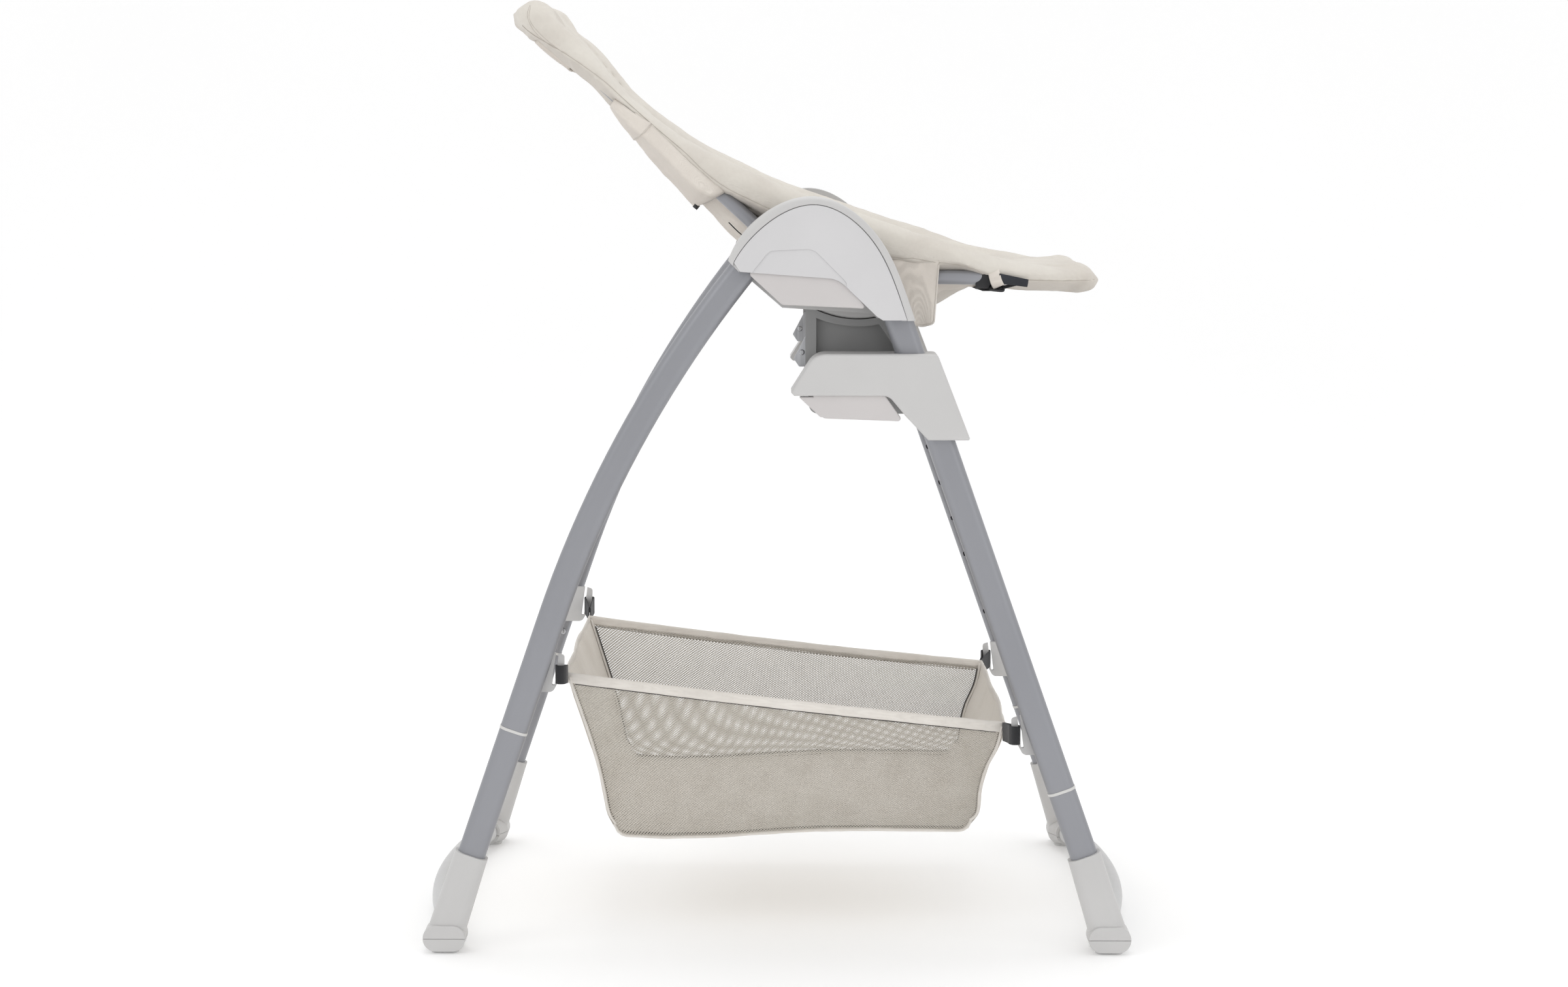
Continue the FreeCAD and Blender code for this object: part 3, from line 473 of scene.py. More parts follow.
def seat_ring(row):
    """Closed cross-section of the cover: belly, side roll and hollow, both sides."""
    top, side, under, floor, belly = (np.array(row[i : i + 2]) for i in range(0, 10, 2))
    half = row[10]
    roll = min(34.0, half * 0.22)

    def at(y, place):
        return (place[0], y, place[1])

    right = [
        at(0.0, belly),
        at(half * 0.35, belly * 0.96 + under * 0.04),
        at(half * 0.62, belly * 0.74 + under * 0.26),
        at(half - roll * 1.25, belly * 0.34 + under * 0.66),
        at(half - roll * 0.42, under),
        at(half - 5, under * 0.55 + side * 0.45),
        at(half, side),
        at(half - roll * 0.1, side * 0.5 + top * 0.5),
        at(half - roll * 0.45, side * 0.12 + top * 0.88),
        at(half - roll * 0.85, top),
        at(half - roll * 1.35, top * 0.9 + floor * 0.1),
        at(half - roll * 2.0, top * 0.62 + floor * 0.38),
        at(half * 0.5, top * 0.22 + floor * 0.78),
        at(half * 0.26, top * 0.05 + floor * 0.95),
        at(0.0, floor),
    ]
    line = smooth_line(right, 46)
    mirror = line[1:-1][::-1] * np.array([1, -1, 1])
    return np.vstack([line, mirror])


SWELL_FRAMES = 20        # frames of the cloth simulation


def puff(made, voxel, pressure, cap, pinned):
    """Remesh, swell under cloth pressure with seams held, and cap the travel."""
    remesh = made.modifiers.new("remesh", "REMESH")
    remesh.mode = "VOXEL"
    remesh.voxel_size = voxel * MM
    remesh.use_smooth_shade = True
    apply_modifiers(made)
    start = coordinates(made)
    group = made.vertex_groups.new(name="held")
    held = pinned(start / MM)
    for index in np.nonzero(held > 0.02)[0]:
        group.add([int(index)], float(held[index]), "REPLACE")
    swell = made.modifiers.new("cloth", "CLOTH")
    fabric = swell.settings
    fabric.quality = 5
    fabric.mass = 0.25
    fabric.tension_stiffness = 18
    fabric.compression_stiffness = 12
    fabric.shear_stiffness = 8
    fabric.bending_stiffness = 0.35
    fabric.use_pressure = True
    fabric.uniform_pressure_force = pressure
    fabric.vertex_group_mass = "held"
    fabric.effector_weights.gravity = 0
    swell.collision_settings.use_collision = False
    swell.point_cache.frame_start = 1
    swell.point_cache.frame_end = SWELL_FRAMES
    scene = bpy.context.scene
    for step in range(1, SWELL_FRAMES + 1):
        scene.frame_set(step)
    apply_modifiers(made)
    scene.frame_set(1)
    made.vertex_groups.clear()
    moved = coordinates(made) - start
    length = np.linalg.norm(moved, axis=1)
    factor = np.minimum(1.0, cap * MM / np.maximum(length, 1e-9))
    set_coordinates(made, start + moved * factor[:, None])
    fine = made.modifiers.new("fine", "SUBSURF")
    fine.levels = 1
    fine.render_levels = 1
    apply_modifiers(made)
    smooth_shading(made)
    return made


def crease(made, lines, reach, depth):
    """Press sewn seams into a mesh along lines of points, in millimetres."""
    tree = point_tree([Vector(point) * MM for line in lines for point in line])
    points = coordinates(made)
    outward = vertex_data(made, "normal")
    for k, point in enumerate(points):
        gap = tree.find(Vector(point))[2] / MM
        if gap < reach:
            share = 1 - gap / reach
            points[k] -= outward[k] * depth * MM * share * share * (3 - 2 * share)
    set_coordinates(made, points)


def rumple(made, height, size, stretch=(1.0, 1.0, 1.0), seed=0.0, ridged=False):
    """Soft uneven cloth surface: move points along their normals by noise."""
    points = coordinates(made)
    outward = vertex_data(made, "normal")
    for k, point in enumerate(points):
        place = Vector(point[i] * stretch[i] / (size * MM) for i in range(3))
        value = noise.noise(place + Vector((seed, seed, seed)))
        if ridged:
            value = 1 - 2.2 * abs(value)
        value += 0.4 * noise.noise(place * 2.3 + Vector((seed, 7.0, 3.0)))
        points[k] += outward[k] * height * MM * value
    set_coordinates(made, points)


def surface_of(made):
    graph = bpy.context.evaluated_depsgraph_get()
    return BVHTree.FromObject(made, graph)


def cast(tree, start, way, lift=0.0):
    """Point where a ray meets a surface, in millimetres, raised off it a little."""
    hit, normal, _, _ = tree.ray_cast(Vector(start) * MM, Vector(way).normalized(), 1.0)
    if hit is None:
        return None
    return np.array(hit) / MM + lift * np.array(normal)


def cast_line(tree, starts, way, lift):
    found = [cast(tree, start, way, lift) for start in starts]
    return [point for point in found if point is not None]


# Seams as seen from the side, in millimetres (x, z).
SIDE_SEAM = [
    (-290, 1031), (-276, 1020), (-246, 1003), (-227, 991), (-196, 969), (-175, 950),
    (-142, 921), (-105, 890), (-82, 868), (-57, 850), (-20, 832), (30, 808),
    (80, 786), (130, 774), (150, 773), (171, 769), (191, 767), (207, 764),
    (226, 758), (238, 751), (300, 747), (345, 746), (364, 748),
]
HEAD_SEAMS = [
    [(-282, 1054), (-284, 1041), (-275, 1024), (-258, 1009), (-246, 1003)],
    [(-281, 1054), (-281, 1037), (-266, 1019), (-241, 999)],
]
CROSS_SEAMS = (-205, -70, 170, 262)
BOLSTER_SHARE = 0.60     # place of the long top seams, as a share of the half width
BESIDE = 260.0           # rays start here, outside the seat, or above it
ABOVE = 1100.0


def from_side(seam, count, sign):
    """Ray starts beside the seat along a seam that is given from the side."""
    return [(x, sign * BESIDE, z) for x, z in smooth_line(seam, count)]


def make_seat_cover():
    stations = blended(SEAT_ROWS, 112)
    rings = [seat_ring(row) for row in stations]
    cover = loft("seat_cover", rings, "seat_fabric")
    tree = surface_of(cover)
    down = (0, 0, -1)
    seams = [cast_line(tree, from_side(SIDE_SEAM, 260, sign), (0, -sign, 0), 0.0) for sign, _ in SIDES]
    bolster = {}
    for sign, _ in SIDES:
        bolster[sign] = [
            (row[6] * 0.55 + row[0] * 0.45, sign * row[10] * BOLSTER_SHARE, ABOVE)
            for row in stations[16:86:2]
        ]
        seams.append(cast_line(tree, bolster[sign], down, 0.0))
    for x in CROSS_SEAMS:
        seams.append(cast_line(tree, [(x, y, ABOVE) for y in range(-100, 101, 4)], down, 0.0))
    spots = point_tree([p for line in seams for p in line])

    def pinned(points):
        return np.array([max(0.0, 1 - spots.find(Vector(point))[2] / 6.0) for point in points])

    puff(cover, 5.0, 4.0, 5.0, pinned)
    rumple(cover, 1.3, 60.0, (0.6, 1.0, 0.6), 3.1)
    rumple(cover, 0.55, 16.0, (1.0, 0.5, 1.0), 8.7)
    crease(cover, seams[:2], 4.0, 0.5)
    crease(cover, seams[2:], 7.0, 1.8)
    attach(cover, "seat")
    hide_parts("seat_pad")
    skin = surface_of(cover)
    pieces = []

    def seam_tube(name, line, count, radius, around=6):
        pieces.append(tube(name, smooth_line(line, count), radius, "seat_fabric", SEAM, around))

    for sign, side in SIDES:
        line = cast_line(skin, from_side(SIDE_SEAM, 240, sign), (0, -sign, 0), 0.25)
        seam_tube("cover_side_seam_" + side, line[::3], 260, 0.36, 8)
        for number, seam in enumerate(HEAD_SEAMS):
            line = cast_line(skin, from_side(seam, 50, sign), (0, -sign, 0), 0.0)
            if len(line) > 8:
                seam_tube(f"head_seam_{side}_{number + 1}", line[::3], 60, 0.28)
        line = cast_line(skin, bolster[sign], down, 0.4)
        seam_tube("cover_top_seam_" + side, line[::2], 200, 0.5)
    for piece in pieces:
        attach(piece, "seat")
    return skin


cover_skin = make_seat_cover()


# ---- thin fabric pieces of the seat -----------------------------------------------------
def mirrored_rows(rows, columns):
    """Full-width rows from half rows that run from the +Y edge to the middle."""
    full = []
    for row in rows:
        half = smooth_line(row, columns)
        full.append(np.vstack([half, half[:-1][::-1] * np.array([1, -1, 1])]))
    return np.array(full)


def fabric_sheet(name, rings, finish="flap_fabric"):
    """Open cloth of one layer from a grid of points."""
    rings = np.array(rings, float)
    rows, columns = rings.shape[:2]
    return new_object(name, rings.reshape(-1, 3), grid_faces(rows, columns), finish)


def thicken(made, thick, offset=-1.0):
    solid = made.modifiers.new("solid", "SOLIDIFY")
    solid.thickness = thick * MM
    solid.offset = offset
    apply_modifiers(made)
    smooth_shading(made)


def binding(name, line, count, radius, around=8):
    """Bound edge of a seat cloth."""
    trim = tube(name, smooth_line(line, count), radius, "flap_fabric", BINDING, around)
    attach(trim, "seat")
    return trim


# Rows from top to hem: seam point, fold point below the tube, silhouette point (x, z each)
# and half width.
COVER_ROWS = [
    (-160, 933, -167, 922, -175, 918, 202),
    (-142, 919, -151, 907, -163, 902, 207),
    (-127, 905, -136, 893, -151, 886, 211),
    (-110, 889, -119, 876, -134, 867, 214),
    (-94, 874, -103, 860, -117, 850, 218),
    (-77, 860, -88, 846, -104, 835, 221),
    (-59, 847, -74, 838, -97, 827, 223),
]
SLEEVE_ROWS = [
    (-183, 948, -186, 944, -189, 940, 199),
    (-172, 940, -178, 934, -184, 931, 201),
    (-161, 932, -168, 924, -178, 921, 204),
    (-151, 926, -160, 916, -171, 913, 206),
    (-142, 921, -152, 910, -165, 905, 208),
]


def pad_side(place, lift):
    """How far out a cloth lies that is laid on the pad's side at (x, z)."""
    hit = cast(cover_skin, (place[0], BESIDE, place[1]), (0, -1, 0))
    return hit[1] + lift


def wrapped_row(row, out):
    """Half cross-section from the side seam round the tube to the middle."""
    seam, fold, low = (np.array(row[i : i + 2], float) for i in (0, 2, 4))
    away = (fold - seam) / np.linalg.norm(fold - seam) * out
    start = pad_side(seam, out - 0.6)
    half = min(row[6] + out, start + 3.0)
    low = low + away
    fold = fold + away
    return [
        (seam[0], start, seam[1]),
        (seam[0] * 0.6 + fold[0] * 0.4, start * 0.5 + half * 0.5 + 1.2, seam[1] * 0.6 + fold[1] * 0.4),
        (seam[0] * 0.15 + fold[0] * 0.85, half - 0.6, seam[1] * 0.15 + fold[1] * 0.85),
        (fold[0], half - 4.5, fold[1]),
        (fold[0] * 0.78 + low[0] * 0.22, half - 18, fold[1] * 0.78 + low[1] * 0.22),
        (fold[0] * 0.35 + low[0] * 0.65, half * 0.76, fold[1] * 0.35 + low[1] * 0.65),
        (low[0], half * 0.36, low[1]),
        (low[0], 0.0, low[1]),
    ]


# Name, rows, count of rows, lift off the pad, height and seed of the folds, flat size and
# the most that the area may be.
BACK_COVERS = (
    ("back_cover", COVER_ROWS, 44, 0.4, 1.3, 5.0, (0.50, 0.14), 0.0699),
    ("back_sleeve", SLEEVE_ROWS, 30, 2.4, 0.7, 11.0, (0.46, 0.09), 0.0413),
)


def make_back_covers():
    for name, table, count, out, height, seed, flat, most in BACK_COVERS:
        rings = mirrored_rows([wrapped_row(row, out) for row in blended(table, count)], 72)
        piece = fabric_sheet(name, rings)
        rumple(piece, height, 46.0, (0.5, 1.0, 0.5), seed)
        rumple(piece, height * 0.4, 15.0, (1.0, 0.6, 1.0), seed + 3)
        edge = coordinates(piece).reshape(rings.shape)[-1] / MM
        thicken(piece, 1.3)
        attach(piece, "seat")
        hem = binding(name + "_hem", edge[::3], 150, 0.95, 10)
        if name == "back_cover":
            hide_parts("back_flap")
    place = Vector((-94.0, -150.0, 828.0))
    line = [place + Vector((-1.4, 0, -1.8)), place, place + Vector((2.2, 0, 2.6))]
    snap = tube("hem_snap", line, 3.2, "black_plastic", around=14)
    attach(snap, "seat")


def make_head_flap():
    """Narrow pocket flap sewn under the headrest."""
    rows = []
    for share in np.linspace(0, 1, 12):
        x = -275 + 38 * share
        z = 1013.5 - 30.5 * share
        bulge = 0.8 + 0.6 * math.sin(math.pi * min(1.0, share * 1.25)) + 0.3 * share
        edge = [(x + 2.5, 146 - 4 * share, z + 3.0), (x - bulge * 0.6, 138 - 3 * share, z - bulge * 0.6)]
        rows.append(edge + [(x - bulge, y, z - bulge) for y in (96, 40, 0)])
    rings = mirrored_rows(rows, 26)
    flap = fabric_sheet("head_pocket_flap", rings)
    rumple(flap, 0.5, 30.0, (1, 1, 1), 2.0)
    edge = coordinates(flap).reshape(rings.shape)[-1] / MM
    thicken(flap, 1.4)
    hem = binding("head_pocket_hem", edge[::3], 90, 0.9)
    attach(flap, "seat")


# Rows from the back hem to the foot: edge (x, z), lowest middle (x, z), half width.
SLING_ROWS = [
    (-66, 846, -92, 834, 196),
    (-48, 829, -72, 812, 194),
    (-20, 806, -44, 784, 194),
    (14, 780, -4, 750, 197),
    (52, 764, 36, 718, 202),
    (92, 760, 84, 699, 204),
    (132, 760, 130, 698, 203),
    (158, 759, 163, 709, 202),
    (176, 758, 184, 726, 200),
    (196, 757, 206, 731, 198),
    (212, 756, 219, 735, 195),
    (226, 755, 233, 740, 190),
]


def make_sling():
    rows = []
    for row in blended(SLING_ROWS, 96):
        edge, low, half = np.array(row[0:2]), np.array(row[2:4]), row[4]

        def at(share, y):
            place = edge * (1 - share) + low * share
            return (place[0], y, place[1])

        outer = [at(0.0, half), at(0.22, half - 1.5), at(0.5, half - 9), at(0.74, half - 30)]
        rows.append(outer + [at(0.9, half * 0.62), at(0.985, half * 0.3), at(1.0, 0.0)])
    rings = mirrored_rows(rows, 60)
    sling = fabric_sheet("belly_sling_cloth", rings)
    rumple(sling, 2.2, 34.0, (0.35, 1.0, 0.8), 21.0, True)
    rumple(sling, 1.4, 60.0, (1.0, 0.6, 1.0), 4.0)
    points = coordinates(sling).reshape(rings.shape) / MM
    first, last = points[0], points[-1]
    thicken(sling, 1.2)
    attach(sling, "seat")
    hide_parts("belly_sling")
    trims = [
        binding("sling_back_hem", first[::3], 150, 1.4),
        binding("sling_foot_hem", last[::3], 150, 1.4),
    ]
    # A dark flat strip, in the webbing finish, drawn along the slit in the sling's near side.
    slit = [(x, -205.5, z) for x, z in ((-56, 812), (-47, 803), (-40, 797))]
    loop = tube("sling_slit_strip", smooth_line(slit, 12), 1.3, "black_webbing", around=8, flat=0.5)
    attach(loop, "seat")


def make_side_flaps():
    """Loose bound flap that hangs from the seat edge beside each hub."""
    for sign, side in SIDES:
        rows = []
        for across in np.linspace(0, 1, 30):
            x_top = 120 + 58.5 * across
            x_low = 141 + 32.5 * across
            low = 698.5 + 1.2 * math.sin(across * 8.0)
            low += 3.5 * max(0.0, (across - 0.92) / 0.08) ** 2
            low += 3.0 * max(0.0, (0.15 - across) / 0.15) ** 2
            column = []
            for down in np.linspace(0, 1, 30):
                x = x_top * (1 - down) + x_low * down
                z = 771 * (1 - down) + low * down
                wave = 1.4 * math.sin(across * 7.0 + 1.0) * down * down
                column.append((x, sign * (216.5 - 2.0 * down + wave), z))
            rows.append(column)
        flap = fabric_sheet("side_flap_" + side, rows)
        rumple(flap, 0.6, 26.0, (1.0, 1.0, 0.4), 6.0 + sign)
        points = coordinates(flap).reshape(30, 30, 3) / MM
        border = np.vstack([points[0, ::3], points[::2, -1], points[-1, ::-3]])
        thicken(flap, 1.1, 0.0)
        trim = binding("side_flap_binding_" + side, border[1:], 170, 1.2)
        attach(flap, "seat")
        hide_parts("side_flaps")


STRAP_EDGE = ((-1, -0.6), (-0.9, -1), (-0.3, -1), (0.3, -1), (0.9, -1), (1, -0.6))


def strap(name, line, across, wide, thick, finish="black_webbing"):
    """Flat webbing along a line, in millimetres; across is its width direction."""
    line = np.array(line, float)
    rings = []
    for index, point in enumerate(line):
        ahead = line[min(index + 1, len(line) - 1)] - line[max(index - 1, 0)]
        ahead = ahead / np.linalg.norm(ahead)
        side = np.array(across, float)
        side = side - ahead * (side @ ahead)
        side = side / np.linalg.norm(side)
        up = np.cross(ahead, side)
        profile = [*STRAP_EDGE, *[(-a, -b) for a, b in STRAP_EDGE]]
        rings.append([point + side * a * wide / 2 + up * b * thick / 2 for a, b in profile])
    return loft(name, rings, finish)


def tilt_to(x, y, z):
    """Turn that takes straight up to a direction."""
    return Vector((0, 0, 1)).rotation_difference(Vector((x, y, z))).to_matrix()


def rounded(half_x, half_y, power, steps):
    """Outline between an ellipse (power 1) and a rectangle (power 0)."""
    outline = []
    for step in range(steps):
        angle = 2 * math.pi * step / steps
        cos, sin = math.cos(angle), math.sin(angle)
        x = half_x * math.copysign(abs(cos) ** power, cos)
        y = half_y * math.copysign(abs(sin) ** power, sin)
        outline.append((x, y))
    return outline


def frame_ring(name, centre, wide, tall, bar, tilt):
    """Rounded rectangular slider frame, drawn as a closed bar."""
    corners = [Vector((x, y, 0)) for x, y in rounded(wide / 2, tall / 2, 0.4, 40)]
    up = Vector((0, 0, 1))
    points = []
    for index, place in enumerate(corners):
        ahead = (corners[(index + 1) % len(corners)] - corners[index - 1]).normalized()
        outward = ahead.cross(up)
        for k in range(8):
            angle = 2 * math.pi * k / 8
            point = place + bar * (math.cos(angle) * outward + 0.7 * math.sin(angle) * up)
            points.append(tilt @ point + Vector(centre))
    faces = grid_faces(len(corners), 8, True, True)
    made = new_object(name, points, faces, "black_plastic")
    face_outward(made)
    return made


# Routes on the left side, in millimetres; the right side mirrors them.
TAIL_ROUTE = ((222, 193, 739.5), (234, 197, 737.5), (248, 199, 739.0), (262, 198, 742.5), (272, 195, 745.0))
TAB_ROUTE = ((240, 204, 760), (241, 210.5, 754), (243, 211, 747), (246, 208, 741))


def make_foot_trims():
    """Webbing under the foot end, its loops and sliders, and the blank label."""
    across = np.linspace(-192, 192, 60)
    line = [(238 + 2 * math.sin(y / 40), y, 736.5 - 2.5 * math.cos(y / 130)) for y in across]
    under = strap("foot_strap", line, (1, 0, 0), 24, 1.8)
    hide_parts("leg_webbing")
    pieces = [under]
    for sign, side in SIDES:
        loop = []
        for step in range(31):
            angle = math.radians(-70 + 330 * step / 30)
            y = 196.5 + 11.2 * math.cos(angle)
            z = 749.5 + 11.2 * math.sin(angle)
            loop.append((228 + 2.0 * step / 30, sign * y, z))
        pieces.append(strap("tube_loop_" + side, loop, (1, 0, 0), 16, 1.4))
        tail = [(x, sign * y, z) for x, y, z in TAIL_ROUTE]
        pieces.append(strap("webbing_tail_" + side, smooth_line(tail, 26), (0, 1, 0.25), 10, 1.2))
        tilt = tilt_to(0.1, sign * 0.35, 1)
        pieces.append(frame_ring("strap_slider_" + side, (244, sign * 201, 739.5), 15, 17, 1.8, tilt))
    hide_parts("webbing_buckle")
    rows = []
    for along in np.linspace(0, 1, 16):
        x = 246.5 + 33 * along
        y = -211.0 + 7.4 * along
        column = []
        for down in np.linspace(0, 1, 10):
            z = 756.0 - 7.0 * along - (11.0 - 2.5 * along) * down
            curl = 1.4 * math.sin(math.pi * down) * 0.6
            column.append((x - 1.0 * down, y - curl + 2.4 * down * down, z))
        rows.append(column)
    label = fabric_sheet("blank_label", rows, "label_fabric")
    thicken(label, 0.7, 0.0)
    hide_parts("label_tab")
    pieces.append(label)
    for sign, side in SIDES:
        tab = [(x, sign * y, z) for x, y, z in TAB_ROUTE]
        pieces.append(strap("foot_tab_" + side, smooth_line(tab, 16), (1, 0, 0.2), 13, 1.2, "flap_fabric"))
    for piece in pieces:
        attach(piece, "seat")


def turned(outline, level, tilt, centre):
    """Flat outline lifted by a level, tilted and moved to a centre."""
    return [tuple(tilt @ Vector((x, y, level)) + Vector(centre)) for x, y in outline]


def make_harness():
    """Waist and crotch webbing lying on the hollow's floor, with one buckle."""
    high = 1000.0
    down = (0, 0, -1)
    pieces = []
    for sign, side in SIDES:
        start = [(26 + 6 * t, sign * (20 + 128 * t), high) for t in np.linspace(0, 1, 60)]
        line = cast_line(cover_skin, start, down, 2.2)
        pieces.append(strap("waist_strap_" + side, smooth_line(line[::3], 60), (1, 0, 0), 24, 1.7))
    start = [(40 + 58 * t, 0.0, high) for t in np.linspace(0, 1, 40)]
    line = cast_line(cover_skin, start, down, 2.2)
    pieces.append(strap("crotch_strap", smooth_line(line[::3], 40), (0, 1, 0), 24, 1.7))
    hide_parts("harness_straps")
    for sign, side in SIDES:
        centre = cast(cover_skin, (29, sign * 62.0, high), down, 3.4)
        pieces.append(frame_ring("waist_slider_" + side, centre, 34, 20, 1.6, tilt_to(0.62, 0, 0.78)))
    centre = cast(cover_skin, (33, 0.0, high), down, 7.0)
    tilt = tilt_to(0.66, 0, 0.75)
    rings = []
    for level, grow in ((-4.8, 0.86), (-3.6, 0.97), (0.0, 1.0), (3.2, 0.96), (4.9, 0.82), (5.3, 0.5)):
        rings.append(turned(rounded(17 * grow, 19 * grow, 0.7, 36), level, tilt, centre))
    buckle = loft("harness_clasp", rings, "black_plastic")
    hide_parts("harness_buckle")
    pieces.append(buckle)
    button = []
    for level, grow in ((4.6, 1.0), (6.4, 0.94), (7.0, 0.7)):
        button.append(turned(rounded(7.5 * grow, 7.5 * grow, 1.0, 28), level, tilt, centre))
    pieces.append(loft("clasp_button", button, "carrier_plastic"))
    for piece in pieces:
        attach(piece, "seat")


make_back_covers()
make_head_flap()
make_sling()
make_side_flaps()
make_foot_trims()
make_harness()


# ---- storage basket --------------------------------------------------------------------------
# Edges of the long walls as seen from the side, from the floor to the rim (x, z), and the
# floor's height from rear to front, in millimetres.
REAR_EDGE = [(-187, 111), (-195, 134), (-201, 170), (-210, 211), (-224, 257), (-239, 303)]
FRONT_EDGE = [(222, 117), (231, 137), (233, 165), (239, 192), (251, 220), (257, 247)]
FLOOR_DIP = [0.0, -3.5, -3.0, 0.5, 3.0, 3.0, 1.5, 0.0]
EDGE_STEPS = 64
EDGE_REAR = smooth_line(REAR_EDGE, EDGE_STEPS)
EDGE_FRONT = smooth_line(FRONT_EDGE, EDGE_STEPS)
CORNER_R = 16.0          # rounding of the wall's lower corners
NET_WIDE = 4.0           # pitch of the net's holes along and up the wall
NET_TALL = 2.9
NET_HOLE = 0.66          # how far each hole and the ring of painted shade inside it open, of its cell
NET_OPEN = 0.54
WALL_LONG = 486          # lengths that the net's pitch is counted over
WALL_TALL = 186
HOLE_WAYS = ((1, 0), (0, 1), (-1, 0), (0, -1))


def wall_point(sign, u, v):
    """Point on a long wall: u from rear to front, v from floor to rim."""
    u = np.asarray(u, float)
    v = np.asarray(v, float)
    at = np.linspace(0, 1, EDGE_STEPS)
    x0, z0 = np.interp(v, at, EDGE_REAR[:, 0]), np.interp(v, at, EDGE_REAR[:, 1])
    x1, z1 = np.interp(v, at, EDGE_FRONT[:, 0]), np.interp(v, at, EDGE_FRONT[:, 1])
    dip = np.interp(u, np.linspace(0, 1, len(FLOOR_DIP)), FLOOR_DIP) * (1 - v) ** 2
    lift = 17.0 * (1 - v) ** 2 if sign > 0 else 0.0
    near_end = np.clip(1 - np.minimum(u, 1 - u) * 410.0 / CORNER_R, 0, 1)
    rounding = CORNER_R * (1 - np.sqrt(1 - near_end**2 * 0.98)) * (1 - v) ** 7
    z = z0 + (z1 - z0) * u + dip + lift + rounding - 2.5 * np.sin(math.pi * u) * v * v
    bow = 5.0 * np.sin(math.pi * u) * np.sin(math.pi * v) + 2.5 * np.sin(math.pi * u) * v
    ripple = 1.2 * np.sin(9.0 * u + 2.0) * np.sin(math.pi * v)
    y = 190 + 27 * v**1.3 - bow + ripple
    return np.stack([x0 + (x1 - x0) * u, sign * y, z], axis=-1)


def end_point(front, w, v):
    """Point on an end wall: w from the -Y to the +Y side, v from floor to rim."""
    u = 1.0 if front else 0.0
    near = wall_point(-1, u, v)
    far = wall_point(1, u, v)
    outward = 1.0 if front else -1.0
    point = near + (far - near) * w
    full = math.sin(math.pi * w)
    point[0] += outward * full * 4.0 * v
    point[0] += 1.4 * math.sin(12.0 * w + 3.0 * v) * full
    point[2] -= full * 5.0 * v**3
    return point


def floor_point(u, w):
    near = wall_point(-1, u, 0.0)
    far = wall_point(1, u, 0.0)
    point = near + (far - near) * w
    point[2] -= 3.0 * math.sin(math.pi * u) * math.sin(math.pi * w)
    return point


def net_grid(sign):
    """Points of a long wall on the net's fine grid, and the outward direction."""
    across = int(WALL_LONG / NET_WIDE) * 2
    up = int(WALL_TALL / NET_TALL) * 2
    i, j = np.meshgrid(np.arange(across + 1), np.arange(up + 1), indexing="ij")
    flat = wall_point(sign, i / across, j / up)
    away = np.cross(np.gradient(flat, axis=0), np.gradient(flat, axis=1)) * -sign
    away = away / np.linalg.norm(away, axis=-1, keepdims=True)
    return i, j, flat, away


def hole_rings(flat, ci, cj, share):
    """The four corners of every hole, drawn in towards its centre."""
    centre = flat[ci, cj]
    return [centre + share * (flat[ci + a, cj + b] - centre) for a, b in HOLE_WAYS]


def ring_faces(outer, inner, sign):
    """Four faces between two rings of four points each, for every hole."""
    faces = []
    for k in range(4):
        n = (k + 1) % 4
        faces.append(np.stack([outer[k], outer[n], inner[n], inner[k]], axis=1))
    faces = np.concatenate(faces)
    return (faces[:, ::-1] if sign > 0 else faces).tolist()


def net_panel(side, sign):
    """Knitted mesh of small staggered holes, with a dark ring of painted shade set back inside each."""
    i, j, flat, away = net_grid(sign)
    nodes = (i + j) % 2 == 0
    index = np.full(i.shape, -1)
    index[nodes] = np.arange(nodes.sum())
    count = int(nodes.sum())
    ci, cj = np.nonzero(~nodes)
    inside = (ci > 0) & (ci < i.max()) & (cj > 0) & (cj < j.max())
    ci, cj = ci[inside], cj[inside]
    cells = np.arange(len(ci))
    ring = hole_rings(flat, ci, cj, NET_HOLE)
    knots = (flat + away * 0.45)[nodes]
    outer = [index[ci + a, cj + b] for a, b in HOLE_WAYS]
    inner = [count + k * len(ci) + cells for k in range(4)]
    points = np.concatenate([knots, *ring])
    yarn = new_object("basket_net_" + side, points, ring_faces(outer, inner, sign), "basket_fabric", NET)
    # Painted shade: a dark sunken ring inside each hole stands in for the shade that falls within the yarn.
    open_ring = hole_rings(flat - away * 0.35, ci, cj, NET_OPEN)
    corners = [k * len(ci) + cells for k in range(8)]
    faces = ring_faces(corners[:4], corners[4:], sign)
    points = np.concatenate([*ring, *open_ring])
    shade_ring = new_object("basket_net_hole_shade_" + side, points, faces, "basket_fabric", NET_HOLE_SHADE)
    return yarn, shade_ring


def solid_cloth():
    """End walls and floor: one strip of plain cloth."""
    across = np.linspace(0, 1, 44)
    rows = [[end_point(False, w, float(v)) for w in across] for v in np.linspace(1, 0, 22)]
    rows += [[floor_point(float(u), w) for w in across] for u in np.linspace(0, 1, 50)[1:-1]]
    rows += [[end_point(True, w, float(v)) for w in across] for v in np.linspace(0, 1, 22)]
    strip = fabric_sheet("basket_cloth", rows, "basket_fabric")
    rumple(strip, 1.5, 50.0, (1.0, 1.0, 0.5), 14.0)
    rumple(strip, 0.5, 16.0, (1.0, 1.0, 1.0), 17.0)
    return strip


def tape(name, line, radius, flat):
    made = tube(name, line, radius, "basket_fabric", RIM_TAPE, 12, flat)
    rumple(made, 0.35, 22.0, (1, 1, 1), 9.0)
    return made


